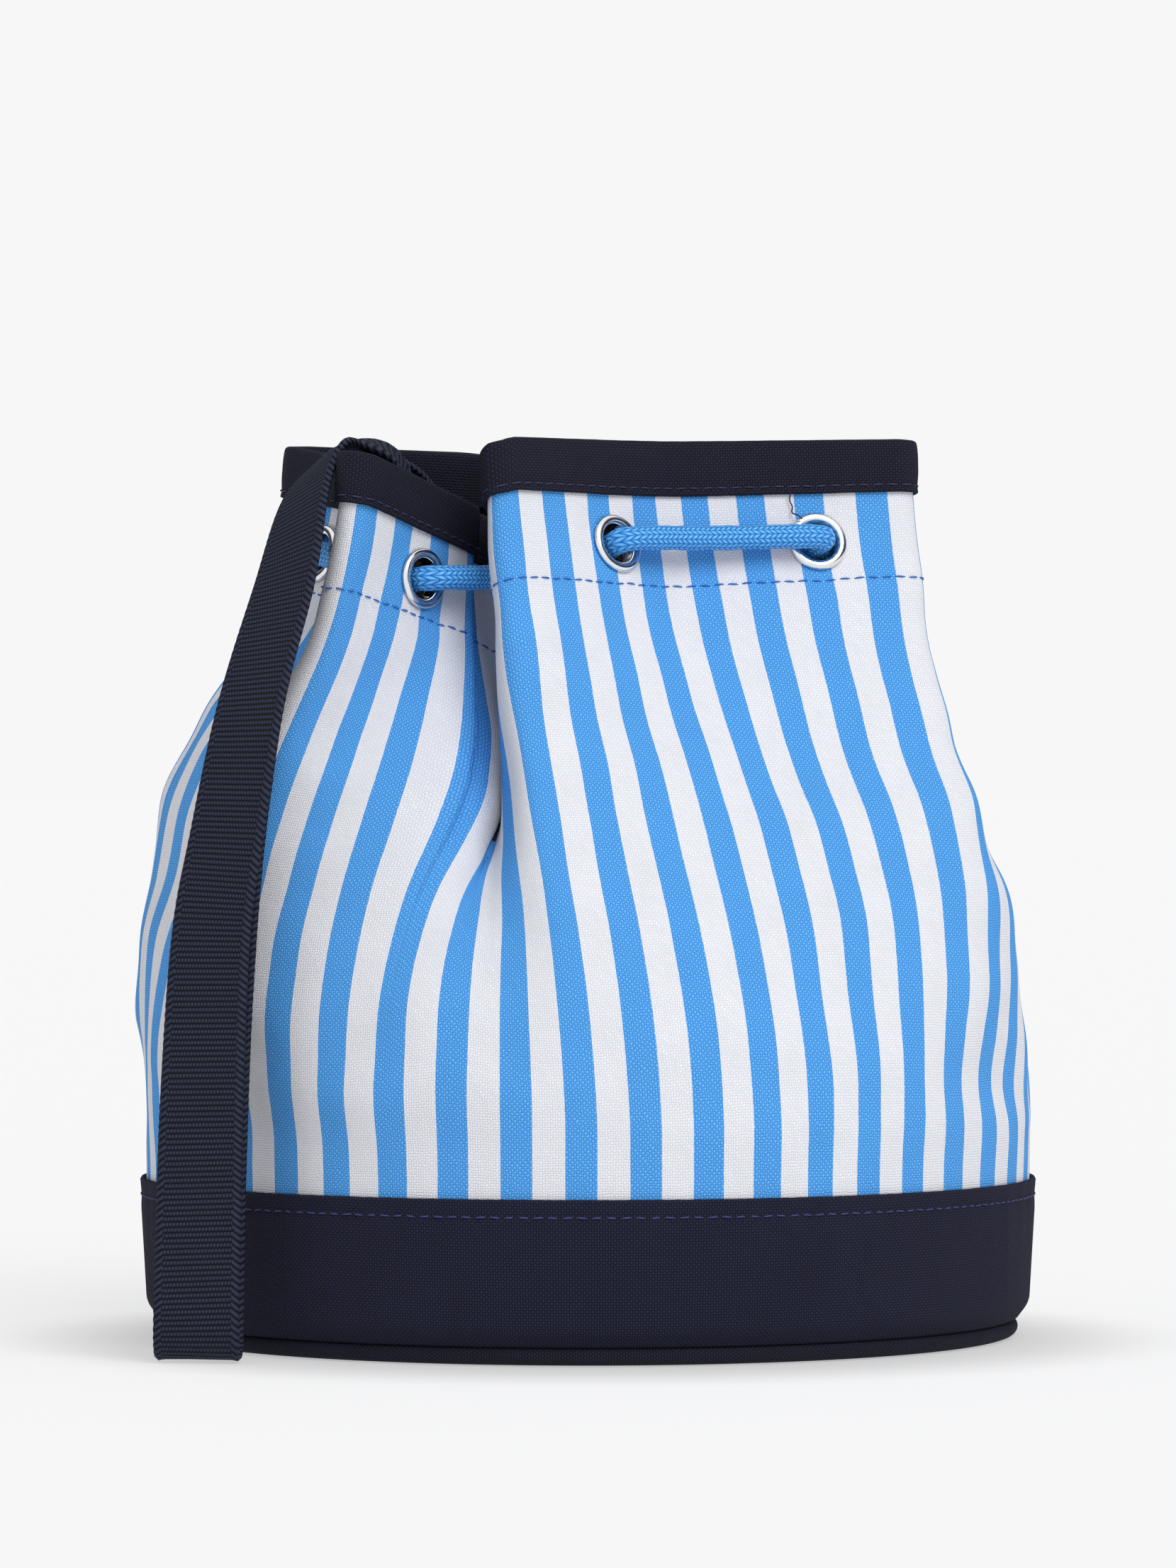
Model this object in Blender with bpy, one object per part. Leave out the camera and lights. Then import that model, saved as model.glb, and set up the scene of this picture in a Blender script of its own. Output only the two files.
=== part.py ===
"""A small round-based bucket bag in striped canvas, drawn in at the mouth by a cord through eyelets.

Metres, +Z up, the front faces -Y. The origin is on the floor at the centre of the base. A place on
the wall is a stripe number, counted anticlockwise from above, and a height along the cloth.
"""

import math

import bmesh
import bpy
import numpy as np
from mathutils import Matrix, Vector

STRIPE_PAIRS = 45
FRONT_STRIPE = 5.1
BASE_RADIUS = 0.1060
BASE_TAPER = 0.055
BAND_TOP = 0.038
WALL_FOOT = 0.0092
CLOTH_HEIGHT = 0.1835
PITCH = 2 * math.pi * BASE_RADIUS / STRIPE_PAIRS

CANVAS = 0.0009
LINING = 0.0006
GAP = 0.0003
LAYER_GAP = 0.0005

EYELETS = (0.65, 3.95, 7.25, 10.77, 14.0, 17.15, 20.3, 23.45, 26.6, 29.8, 33.0, 36.15, 39.3, 42.1)
EYELET_DROP = 0.023
EYELET_RADIUS = 0.0071
EYELET_HOLE = 0.0047
EYELET_ROLL = 0.0012
BINDING_HEIGHT = 0.0115
SEAMS = (-6.15, 16.35)

CORD = 0.006
KNOT_RADIUS = 0.0058
STRAP_WIDTH = 0.020
STRAP_THICKNESS = 0.0014

SOLE_RADIUS = 0.0980
WELT_RADIUS = 0.1008
WELT = 0.0048
BAND_THICKNESS = 0.0011
BAND_FOOT = 0.0085
BAND_TUCK = 0.0056

# Where the rim turns: stripe number, x, y and z of the cloth's edge, and half the cloth in the turn, in stripes.
RIM_TURNS = (
    (3.0, -0.0180, -0.0240, 0.1925, 0.50),
    (4.8, -0.0225, -0.0610, 0.2115, 0.38),
    (8.4, 0.0180, -0.0240, 0.2120, 1.30),
    (12.6, 0.0775, -0.0040, 0.2135, 0.45),
    (15.7, 0.0420, 0.0140, 0.2060, 0.55),
    (18.7, 0.0660, 0.0460, 0.2125, 0.60),
    (21.9, 0.0280, 0.0300, 0.2070, 0.60),
    (25.0, 0.0260, 0.0700, 0.2130, 0.60),
    (28.2, 0.0010, 0.0340, 0.2070, 0.60),
    (31.4, -0.0200, 0.0700, 0.2130, 0.60),
    (34.5, -0.0320, 0.0330, 0.2120, 0.60),
    (37.7, -0.0720, 0.0140, 0.2130, 0.45),
    (40.9, -0.0460, -0.0300, 0.2060, 0.60),
    (43.6, -0.0545, -0.0700, 0.2085, 0.40),
)

FINE_AROUND = 900
FINE_UP = 46
WIDEST_FACET = 1.0
ROW_SHARES = (0.2, 0.4, 0.6, 0.8)


def smooth_step(value):
    value = np.clip(value, 0.0, 1.0)
    return value * value * (3 - 2 * value)


def near(stripe, centre, width):
    """A bell of height 1 round one stripe number, which runs on past the last stripe to the first."""
    away = (stripe - centre + STRIPE_PAIRS / 2) % STRIPE_PAIRS - STRIPE_PAIRS / 2
    return np.exp(-((away / width) ** 2))


def rim_plan(stripes):
    """The rim seen from above: straight legs between folds, each fold an even turn of the cloth."""
    turns = np.array(RIM_TURNS)
    corners = turns[:, 1:3]
    legs = np.roll(corners, -1, axis=0) - corners
    headings = np.arctan2(legs[:, 1], legs[:, 0])
    heading = np.full(len(stripes), headings[-1])
    for (at, _, _, _, half), leaving, coming in zip(turns, headings, np.roll(headings, 1)):
        turn = (leaving - coming + math.pi) % (2 * math.pi) - math.pi
        heading = heading + turn * np.clip((stripes - at + half) / (2 * half), 0, 1)
    step = np.gradient(stripes)[:, None] * PITCH
    run = np.cumsum(np.stack([np.cos(heading), np.sin(heading)], axis=1) * step, axis=0)
    ends = np.append(turns[:, 0], turns[0, 0] + STRIPE_PAIRS)
    miss = np.empty((len(ends), 2))
    for row, at in enumerate(ends):
        for axis in range(2):
            reached = np.interp(at, stripes, run[:, axis])
            miss[row, axis] = corners[row % len(corners), axis] - reached
    for axis in range(2):
        run[:, axis] += np.interp(stripes, ends, miss[:, axis])
    return run


def rim_height(stripes):
    """The height of the cloth's edge, which dips where the rim folds in."""
    turns = np.array(RIM_TURNS)
    ends = np.concatenate([[turns[-1, 0] - STRIPE_PAIRS], turns[:, 0], [turns[0, 0] + STRIPE_PAIRS]])
    heights = np.concatenate([[turns[-1, 3]], turns[:, 3], [turns[0, 3]]])
    return sum(np.interp(stripes + shift, ends, heights) for shift in (-0.4, 0.0, 0.4)) / 3


def hump(share, centre, width):
    """A bump of height 1 in the cloth's height that is nothing at the foot and at the rim."""
    return math.exp(-((share - centre) / width) ** 2) * min(1.0, 12 * share, 8 * (1 - share))


def valley_fold(stripes):
    """How far the valley at the front is pushed in, and how far its two banks are pushed together."""
    away = (stripes - 3.1 + STRIPE_PAIRS / 2) % STRIPE_PAIRS - STRIPE_PAIRS / 2
    reach = np.where(away < 0, 0.0227, 0.0050)
    return near(stripes, 3.1, 0.9), -reach * away * np.exp(-((away / 1.1) ** 2))


def make_wall():
    """The outer face of the canvas on a fine grid: it keeps its height of cloth as it is drawn in."""
    stripes = np.linspace(RIM_TURNS[0][0] - 1, RIM_TURNS[0][0] + 1 + STRIPE_PAIRS, FINE_AROUND)
    rim = rim_plan(stripes)
    angle = (stripes - FRONT_STRIPE) * 2 * math.pi / STRIPE_PAIRS
    out = np.stack([np.sin(angle), -np.cos(angle)], axis=1)
    base = BASE_RADIUS * out
    left = near(stripes, 36.5, 4.5)
    lobe = near(stripes, -0.6, 2.6)
    valley = near(stripes, 3.0, 1.6)
    side = near(stripes, 40.5, 5.0)
    right = near(stripes, 14.0, 2.2)
    fold, squeeze = valley_fold(stripes)
    sideways = np.stack([-out[:, 1], out[:, 0]], axis=1)
    up = np.linspace(0.0, 1.0, FINE_UP)
    plan = np.empty((FINE_AROUND, FINE_UP, 2))
    for row, share in enumerate(up):
        late = 0.08 + 0.16 * left + 0.06 * lobe + 0.06 * valley
        drawn = np.clip((share - late) / (1 - late), 0, 1)
        drawn = 0.7 * smooth_step(drawn) + 0.3 * drawn
        swell = 0.0035 * left + 0.0045 * lobe + 0.0015
        swell = swell * math.sin(math.pi * min(1.0, share / 0.62)) ** 2
        swell += 0.0095 * side * hump(share, 0.56, 0.16) + 0.0080 * right * hump(share, 0.43, 0.24)
        swell -= 0.0080 * fold * hump(share, 0.60, 0.20)
        shift = squeeze * hump(share, 0.60, 0.20)
        blend = drawn[:, None]
        plan[:, row] = (1 - blend) * (base + swell[:, None] * out) + blend * rim
        plan[:, row] += blend * swell[:, None] * out + shift[:, None] * sideways
    rise = CLOTH_HEIGHT / (FINE_UP - 1)
    across = np.linalg.norm(np.diff(plan, axis=1), axis=2)
    climb = np.sqrt(np.maximum(rise * rise - across * across, (0.2 * rise) ** 2))
    climb *= ((rim_height(stripes) - BAND_TOP) / climb.sum(axis=1))[:, None]
    height = BAND_TOP + np.concatenate([np.zeros((FINE_AROUND, 1)), np.cumsum(climb, axis=1)], axis=1)
    return stripes, up * CLOTH_HEIGHT, np.dstack([plan, height])


WALL_STRIPES, WALL_HEIGHTS, WALL = make_wall()


def wall_point(stripe, height):
    """A point of the canvas's outer face. Below the band's top edge the wall is a plain taper."""
    stripe = (stripe - WALL_STRIPES[0]) % STRIPE_PAIRS + WALL_STRIPES[0]
    if height < 0:
        angle = (stripe - FRONT_STRIPE) * 2 * math.pi / STRIPE_PAIRS
        radius = BASE_RADIUS + BASE_TAPER * height
        return Vector((radius * math.sin(angle), -radius * math.cos(angle), BAND_TOP + height))
    column = (stripe - WALL_STRIPES[0]) / (WALL_STRIPES[1] - WALL_STRIPES[0])
    row = height / (WALL_HEIGHTS[1] - WALL_HEIGHTS[0])
    i = min(int(column), FINE_AROUND - 2)
    j = min(int(row), FINE_UP - 2)
    a, b = column - i, row - j
    low = WALL[i, j] * (1 - a) + WALL[i + 1, j] * a
    high = WALL[i, j + 1] * (1 - a) + WALL[i + 1, j + 1] * a
    return Vector(low * (1 - b) + high * b)


def wall_normal(stripe, height):
    along = wall_point(stripe + 0.12, height) - wall_point(stripe - 0.12, height)
    upward = wall_point(stripe, height + 0.003) - wall_point(stripe, height - 0.003)
    return along.cross(upward).normalized()


def wall_at(stripe, height, offset=0.0):
    return wall_point(stripe, height) + offset * wall_normal(stripe, height)


def stations(first, last):
    """Stripe numbers from first to last that every layer shares: four in each fold, and more between."""
    marks = [first, last]
    for turn in range(-1, 3):
        for at, _, _, _, half in RIM_TURNS:
            marks += [at + turn * STRIPE_PAIRS + half * share for share in (-1, -0.35, 0.35, 1)]
    marks = sorted(mark for mark in marks if first <= mark <= last)
    filled = [marks[0]]
    for mark in marks[1:]:
        pieces = math.ceil((mark - filled[-1]) / WIDEST_FACET)
        if mark - filled[-1] > 0.02:
            filled += list(np.linspace(filled[-1], mark, pieces + 1)[1:])
    return filled


def material(name, colour, roughness, metallic=0.0):
    made = bpy.data.materials.new(name)
    made.use_nodes = True
    shader = made.node_tree.nodes["Principled BSDF"]
    shader.inputs["Base Color"].default_value = (*colour, 1)
    shader.inputs["Roughness"].default_value = roughness
    shader.inputs["Metallic"].default_value = metallic
    return made


def add_object(name, mesh, finish, location=(0, 0, 0)):
    made = bpy.data.objects.new(name, mesh)
    made.location = location
    mesh.materials.append(finish)
    bpy.context.scene.collection.objects.link(made)
    return made


def finished_mesh(name, shape):
    """The mesh of a closed shape, with all its faces pointing out and its round places shaded smooth."""
    bmesh.ops.recalc_face_normals(shape, faces=shape.faces)
    if shape.calc_volume(signed=True) < 0:
        bmesh.ops.reverse_faces(shape, faces=shape.faces)
    mesh = bpy.data.meshes.new(name)
    shape.to_mesh(mesh)
    shape.free()
    mesh.shade_smooth()
    mesh.set_sharp_from_angle(angle=math.radians(40))
    return mesh


def mesh_of(name, points, faces):
    shape = bmesh.new()
    corners = [shape.verts.new(point) for point in points]
    for face in faces:
        shape.faces.new([corners[index] for index in face])
    return finished_mesh(name, shape)


def swept(name, sections, closed):
    """One closed skin through equal rings of points, either end to end in a ring or with two flat ends."""
    count = len(sections[0])
    faces = []
    for row in range(len(sections) if closed else len(sections) - 1):
        onward = (row + 1) % len(sections)
        for side in range(count):
            other = (side + 1) % count
            faces.append((row * count + side, row * count + other,
                          onward * count + other, onward * count + side))
    if not closed:
        faces.append(tuple(range(count)))
        faces.append(tuple(range((len(sections) - 1) * count, len(sections) * count)))
    return mesh_of(name, [point for section in sections for point in section], faces)


def turned(name, profile, steps=48, location=(0, 0, 0)):
    """A closed outline of (radius, height) turned once round the upright axis."""
    shape = bmesh.new()
    ring = [shape.verts.new((radius, 0, height)) for radius, height in profile]
    edges = [shape.edges.new((ring[k], ring[(k + 1) % len(ring)])) for k in range(len(ring))]
    bmesh.ops.spin(shape, geom=ring + edges, cent=(0, 0, 0), axis=(0, 0, 1),
                   angle=2 * math.pi, steps=steps, use_merge=True)
    bmesh.ops.remove_doubles(shape, verts=shape.verts, dist=1e-6)
    return finished_mesh(name, shape)


def disc(name, radius, low, high, finish, steps=48):
    shape = bmesh.new()
    bmesh.ops.create_cone(shape, cap_ends=True, cap_tris=False, segments=steps,
                          radius1=radius, radius2=radius, depth=high - low)
    mesh = bpy.data.meshes.new(name)
    shape.to_mesh(mesh)
    shape.free()
    return add_object(name, mesh, finish, (0, 0, (low + high) / 2))


def smooth_route(points, spacing):
    """Points at an even spacing along one smooth curve through the given ones."""
    knots = [Vector(point) for point in points]
    knots = [2 * knots[0] - knots[1], *knots, 2 * knots[-1] - knots[-2]]
    fine = []
    for a, b, c, d in zip(knots, knots[1:], knots[2:], knots[3:]):
        for part in range(12):
            t = part / 12
            fine.append(0.5 * (2 * b + (c - a) * t + (2 * a - 5 * b + 4 * c - d) * t * t
                               + (3 * b - a - 3 * c + d) * t * t * t))
    fine.append(knots[-2])
    run = np.concatenate([[0], np.cumsum([(b - a).length for a, b in zip(fine, fine[1:])])])
    wanted = np.linspace(0, run[-1], max(3, round(run[-1] / spacing) + 1))
    table = np.array(fine)
    return [Vector([np.interp(at, run, table[:, axis]) for axis in range(3)]) for at in wanted]


def cord_object(name, route, finish):
    curve = bpy.data.curves.new(name, "CURVE")
    curve.dimensions = "3D"
    curve.bevel_depth = CORD / 2
    curve.bevel_resolution = 2
    curve.use_fill_caps = True
    line = curve.splines.new("POLY")
    line.points.add(len(route) - 1)
    for spot, place in zip(line.points, route):
        spot.co = (*place, 1)
    return add_object(name, curve, finish)


def ribbon(name, route, thickness, finish):
    """A strap along a route of (place, width direction): a flat bar that turns as its width does."""
    places = [Vector(place) for place, _ in route]
    sections = []
    for k, (place, across) in enumerate(route):
        ahead = places[min(k + 1, len(places) - 1)] - places[max(k - 1, 0)]
        across = Vector(across)
        across = (across - across.project(ahead)).normalized() * STRAP_WIDTH / 2
        face = ahead.cross(across).normalized() * thickness / 2
        sections.append([places[k] + across + face, places[k] - across + face,
                         places[k] - across - face, places[k] + across - face])
    return add_object(name, swept(name, sections, closed=False), finish)


def eyelet_cutters():
    """One helper mesh of short rods, one through the wall at each eyelet."""
    shape = bmesh.new()
    for stripe in EYELETS:
        bmesh.ops.create_cone(shape, cap_ends=True, cap_tris=False, segments=12,
                              radius1=EYELET_RADIUS + GAP, radius2=EYELET_RADIUS + GAP,
                              depth=0.012, matrix=eyelet_frame(stripe))
    mesh = bpy.data.meshes.new("eyelet_cutters")
    shape.to_mesh(mesh)
    shape.free()
    made = bpy.data.objects.new("eyelet_cutters", mesh)
    made.hide_render = True
    made.display_type = "WIRE"
    bpy.context.scene.collection.objects.link(made)
    return made


def cut(target, cutter):
    hole = target.modifiers.new("eyelet_holes", "BOOLEAN")
    hole.operation = "DIFFERENCE"
    hole.solver = "EXACT"
    hole.object = cutter


def eyelet_frame(stripe):
    """Local Z runs out through the cloth at this eyelet, and the origin is mid way through the cloth."""
    height = CLOTH_HEIGHT - EYELET_DROP
    outward = wall_normal(stripe, height)
    place = wall_at(stripe, height, -(CANVAS + LAYER_GAP + LINING) / 2)
    return Matrix.Translation(place) @ outward.to_track_quat("Z", "Y").to_matrix().to_4x4()


def layer_mesh(name, stripes, heights, offsets, closed):
    """A layer of cloth as triangles that all lean one way, so that layers a gap apart never cross."""
    points = [wall_at(stripe, height, offset) for offset in offsets for stripe in stripes for height in heights]
    rows, columns = len(heights), len(stripes)

    def index(face, column, row):
        return (face * columns + column % columns) * rows + row

    faces = []
    for column in range(columns if closed else columns - 1):
        for row in range(rows - 1):
            for face in (0, 1):
                low, high = index(face, column, row), index(face, column + 1, row + 1)
                faces += [(low, index(face, column + 1, row), high), (low, high, index(face, column, row + 1))]
        for row in (0, rows - 1):
            faces.append((index(0, column, row), index(0, column + 1, row),
                          index(1, column + 1, row), index(1, column, row)))
    if not closed:
        for column in (0, columns - 1):
            for row in range(rows - 1):
                faces.append((index(0, column, row), index(0, column, row + 1),
                              index(1, column, row + 1), index(1, column, row)))
    return mesh_of(name, points, faces)


def add_wall_piece(name, first, last, low, high, outer, inner, finish, cutter):
    """A sheet of the wall between two stripes and two heights, from its outer to its inner offset."""
    whole = last - first >= STRIPE_PAIRS
    stripes = stations(first, last)
    if whole:
        stripes.pop()
    shares = [share * CLOTH_HEIGHT for share in ROW_SHARES]
    heights = [low, 0.0, *shares, CLOTH_HEIGHT - BINDING_HEIGHT, high]
    made = add_object(name, layer_mesh(name, stripes, heights, (outer, inner), whole), finish)
    cut(made, cutter)
    return made


def add_binding(finish):
    """The folded tape over the raw rim: it stands a little proud outside and inside."""
    high = CLOTH_HEIGHT
    low = high - BINDING_HEIGHT
    inside = -(CANVAS + LAYER_GAP + LINING) - LAYER_GAP
    outline = ((GAP + 0.0009, low), (GAP + 0.0009, high + 0.0007), (inside - 0.0007, high + 0.0007),
               (inside - 0.0007, low), (inside, low), (inside, high), (GAP, high), (GAP, low))
    sections = []
    for stripe in stations(SEAMS[0], SEAMS[0] + STRIPE_PAIRS)[:-1]:
        sections.append([wall_at(stripe, height, offset) for offset, height in outline])
    return add_object("rim_binding", swept("rim_binding", sections, closed=True), finish)


def add_base(canvas, board, lining):
    lower = BASE_RADIUS + BASE_TAPER * (BAND_FOOT - BAND_TOP)
    outline = ((BASE_RADIUS + GAP, BAND_TOP), (BASE_RADIUS + GAP + BAND_THICKNESS, BAND_TOP),
               (lower + GAP + BAND_THICKNESS, BAND_FOOT), (lower - 0.0008, BAND_TUCK),
               (lower - 0.0022, BAND_TUCK), (lower + GAP, BAND_FOOT))
    add_object("base_band", turned("base_band", outline, steps=66), canvas)
    welt = []
    for k in range(6):
        turn = k * math.pi / 3
        welt.append((WELT_RADIUS + WELT / 2 * math.cos(turn), WELT / 2 * (math.sin(math.pi / 3) + math.sin(turn))))
    add_object("base_welt", turned("base_welt", welt), canvas)
    disc("sole_panel", SOLE_RADIUS, 0.0, 0.0016, canvas)
    disc("base_board", SOLE_RADIUS - 0.0003, 0.0019, 0.0039, board)
    disc("lining_floor", SOLE_RADIUS + 0.0030, 0.0058, 0.0064, lining)


def add_eyelets(metal):
    half = (CANVAS + LAYER_GAP + LINING) / 2
    roll = EYELET_ROLL
    barrel = EYELET_HOLE + 0.0007
    grommet = ((EYELET_HOLE, -half - 0.0008), (barrel, -half - 0.0008), (barrel, half + GAP),
               (EYELET_RADIUS, half + GAP), (EYELET_RADIUS - 0.0008, half + roll), (EYELET_HOLE, half + roll))
    washer = ((barrel + GAP, -half - GAP), (barrel + GAP, -half - 0.0011),
              (EYELET_RADIUS - 0.0004, -half - 0.0011), (EYELET_RADIUS, -half - GAP))
    for number, stripe in enumerate(EYELETS, 1):
        frame = eyelet_frame(stripe)
        for name, outline in (("eyelet", grommet), ("washer", washer)):
            full_name = f"{name}_{number:02d}"
            made = add_object(full_name, turned(full_name, outline, steps=11), metal)
            made.matrix_world = frame


def eyelet_pass(stripe, outward):
    """Three points of the cord through one eyelet, from one side of the cloth to the other."""
    height = CLOTH_HEIGHT - EYELET_DROP
    middle = -(CANVAS + LAYER_GAP + LINING) / 2
    steps = (-0.0057, 0.0, 0.0052) if outward else (0.0052, 0.0, -0.0057)
    return [wall_at(stripe, height, middle + step) for step in steps]


def drawstring_route():
    """The cord from the back, in and out of every eyelet, and back out beside where it began."""
    order = [*EYELETS[9:], *(stripe + STRIPE_PAIRS for stripe in EYELETS[:9])]
    height = CLOTH_HEIGHT - EYELET_DROP
    route = []
    for number, stripe in enumerate(order):
        outward = number % 2 == 1
        route += eyelet_pass(stripe, outward)
        if number + 1 == len(order):
            break
        onward = order[number + 1]
        side = 0.0058 if outward else -0.0072
        across = (wall_point(onward, height) - wall_point(stripe, height)).length
        if across > 0.7 * (onward - stripe) * PITCH:
            route.append(wall_at((stripe + onward) / 2, height, side))
    return route


def add_tails(finish):
    """The two free ends, which hang down the back from the eyelets that the cord leaves by."""
    ends = {
        "left": ((-0.0048, 0.0660, 0.1842), (-0.0072, 0.0760, 0.1700), (-0.0098, 0.0845, 0.1480),
                 (-0.0118, 0.0905, 0.1250), (-0.0128, 0.0950, 0.1080)),
        "right": ((0.0030, 0.0660, 0.1842), (0.0056, 0.0765, 0.1700), (0.0084, 0.0855, 0.1480),
                  (0.0104, 0.0930, 0.1250), (0.0114, 0.0995, 0.1080)),
    }
    for side, places in ends.items():
        route = smooth_route(places, 0.012)
        cord_object(f"drawstring_tail_{side}", route, finish)
        down = (route[-1] - route[-2]).normalized()
        knot = bmesh.new()
        bmesh.ops.create_icosphere(knot, subdivisions=2, radius=KNOT_RADIUS)
        made = add_object(f"tail_knot_{side}", finished_mesh(f"tail_knot_{side}", knot), finish)
        made.location = route[-1] + down * (KNOT_RADIUS + GAP)


def turned_route(stations_list, spacing):
    """A smooth route whose width direction is interpolated from (place, angle from +X) stations."""
    route = []
    for place in smooth_route([place for place, _ in stations_list], spacing):
        away = [(Vector(spot) - place).length for spot, _ in stations_list]
        first, second = sorted(range(len(stations_list)), key=lambda k: away[k])[:2]
        share = away[first] / (away[first] + away[second])
        angle = math.radians(stations_list[first][1] * (1 - share) + stations_list[second][1] * share)
        route.append((place, (math.cos(angle), -math.sin(angle), 0)))
    return route


def build_strap(webbing):
    """Webbing that leaves one side of the mouth, hangs to the floor, turns, and goes back in."""
    front_ply = (
        ((-0.0592, -0.0545, 0.2116), 88), ((-0.0655, -0.0620, 0.1995), 62), ((-0.0700, -0.0740, 0.1780), 45),
        ((-0.0770, -0.0850, 0.1510), 38), ((-0.0825, -0.0900, 0.1200), 30), ((-0.0860, -0.0920, 0.0970), 24),
        ((-0.0880, -0.0930, 0.0600), 16), ((-0.0888, -0.0935, 0.0300), 11), ((-0.0892, -0.0940, 0.0090), 9),
    )
    turn = (((-0.0892, -0.0920, 0.0024), 9), ((-0.0890, -0.0880, 0.0010), 9), ((-0.0888, -0.0845, 0.0030), 9))
    back_ply = (
        ((-0.0886, -0.0835, 0.0120), 10), ((-0.0880, -0.0835, 0.0400), 13), ((-0.0862, -0.0830, 0.0800), 20),
        ((-0.0830, -0.0800, 0.1150), 30), ((-0.0780, -0.0730, 0.1480), 40), ((-0.0715, -0.0600, 0.1800), 58),
        ((-0.0650, -0.0400, 0.2000), 80), ((-0.0588, -0.0292, 0.2092), 88),
    )
    ribbon("strap_loop", turned_route([*front_ply, *turn, *back_ply], 0.0075), STRAP_THICKNESS, webbing)
    short_end = (
        ((-0.0572, -0.0540, 0.2119), 92), ((-0.0520, -0.0515, 0.2120), 96), ((-0.0446, -0.0448, 0.2090), 104),
        ((-0.0428, -0.0428, 0.2010), 104), ((-0.0430, -0.0420, 0.1930), 104),
    )
    long_end = (
        ((-0.0562, -0.0282, 0.2102), 89), ((-0.0500, -0.0265, 0.2106), 90), ((-0.0400, -0.0190, 0.2070), 90),
        ((-0.0270, -0.0090, 0.1900), 86), ((-0.0100, -0.0030, 0.1740), 82), ((0.0150, -0.0040, 0.1620), 82),
        ((0.0400, -0.0080, 0.1550), 85), ((0.0600, -0.0100, 0.1500), 86),
    )
    ribbon("strap_end_left", turned_route(short_end, 0.0075), STRAP_THICKNESS, webbing)
    ribbon("strap_end_right", turned_route(long_end, 0.0085), STRAP_THICKNESS, webbing)


def clear_scene():
    for old in list(bpy.data.objects):
        bpy.data.objects.remove(old)


def main():
    clear_scene()
    stripes = material("striped_canvas", (0.42, 0.60, 0.82), 0.85)
    navy = material("navy_canvas", (0.016, 0.020, 0.044), 0.85)
    lining = material("dark_lining", (0.012, 0.014, 0.024), 0.8)
    webbing = material("navy_webbing", (0.013, 0.018, 0.038), 0.6)
    cord = material("blue_cord", (0.08, 0.33, 0.80), 0.7)
    metal = material("silver_metal", (0.78, 0.78, 0.80), 0.2, 1.0)
    board = material("base_board", (0.30, 0.27, 0.22), 0.9)
    cutter = eyelet_cutters()
    foot = WALL_FOOT - BAND_TOP
    top = CLOTH_HEIGHT - GAP
    left, right = SEAMS
    seam_gap = GAP / 2 / PITCH
    add_wall_piece("front_panel", left + seam_gap, right - seam_gap, foot, top, 0.0, -CANVAS, stripes, cutter)
    add_wall_piece("back_panel", right + seam_gap, left + STRIPE_PAIRS - seam_gap, foot, top, 0.0, -CANVAS,
                   stripes, cutter)
    add_wall_piece("lining_wall", left, left + STRIPE_PAIRS, foot, top - LAYER_GAP, -CANVAS - LAYER_GAP,
                   -CANVAS - LAYER_GAP - LINING, lining, cutter)
    add_binding(navy)
    add_base(navy, board, lining)
    add_eyelets(metal)
    route = smooth_route(drawstring_route(), 0.010)
    cord_object("drawstring", route, cord)
    add_tails(cord)
    build_strap(webbing)


main()
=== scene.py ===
"""The finished look of a small striped bucket bag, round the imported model.

Metres, +Z up, the front faces -Y. A place on the cloth is a stripe number, counted anticlockwise
from above, and a height along the cloth from the top of the base band.
"""

import math

import bpy
import numpy as np
from mathutils import Matrix, Vector, noise
from mathutils.bvhtree import BVHTree


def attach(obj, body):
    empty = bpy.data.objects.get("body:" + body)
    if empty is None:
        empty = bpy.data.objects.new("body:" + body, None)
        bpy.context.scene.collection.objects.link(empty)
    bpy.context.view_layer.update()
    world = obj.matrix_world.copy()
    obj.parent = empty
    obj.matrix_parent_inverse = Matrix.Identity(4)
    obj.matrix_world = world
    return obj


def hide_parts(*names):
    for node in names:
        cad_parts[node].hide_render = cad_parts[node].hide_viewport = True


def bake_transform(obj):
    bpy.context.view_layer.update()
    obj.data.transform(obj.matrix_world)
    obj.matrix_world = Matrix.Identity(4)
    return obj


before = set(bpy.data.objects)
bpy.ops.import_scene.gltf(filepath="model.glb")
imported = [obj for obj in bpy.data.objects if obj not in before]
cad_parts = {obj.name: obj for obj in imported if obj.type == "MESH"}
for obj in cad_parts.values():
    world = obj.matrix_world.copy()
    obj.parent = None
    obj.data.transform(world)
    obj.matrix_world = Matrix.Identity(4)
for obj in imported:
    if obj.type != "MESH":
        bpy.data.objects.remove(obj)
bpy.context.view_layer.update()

# ---------------------------------------------------------------- sizes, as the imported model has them

STRIPE_PAIRS = 45
FRONT_STRIPE = 5.1
BASE_RADIUS = 0.1060
BASE_TAPER = 0.055
BAND_TOP = 0.038
CLOTH_HEIGHT = 0.1835
PITCH = 2 * math.pi * BASE_RADIUS / STRIPE_PAIRS
FOOT = 0.0105 - BAND_TOP

CANVAS = 0.0009
LINING = 0.0006
LAYER_GAP = 0.0005
CLOTH = CANVAS + LAYER_GAP + LINING

EYELETS = (0.65, 3.95, 7.25, 10.77, 14.0, 17.15, 20.3, 23.45, 26.6, 29.8, 33.0, 36.15, 39.3, 42.1)
EYELET_DROP = 0.023
EYELET_RADIUS = 0.0071
EYELET_HOLE = 0.0047
BINDING_HEIGHT = 0.0115
CASING_DROP = 0.0325
SEAMS = (-6.15, 16.35)

CORD = 0.006
STRAP_WIDTH = 0.020
STRAP_THICKNESS = 0.0014

SOLE_RADIUS = 0.0980
WELT_RADIUS = 0.1008
WELT = 0.0048

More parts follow.
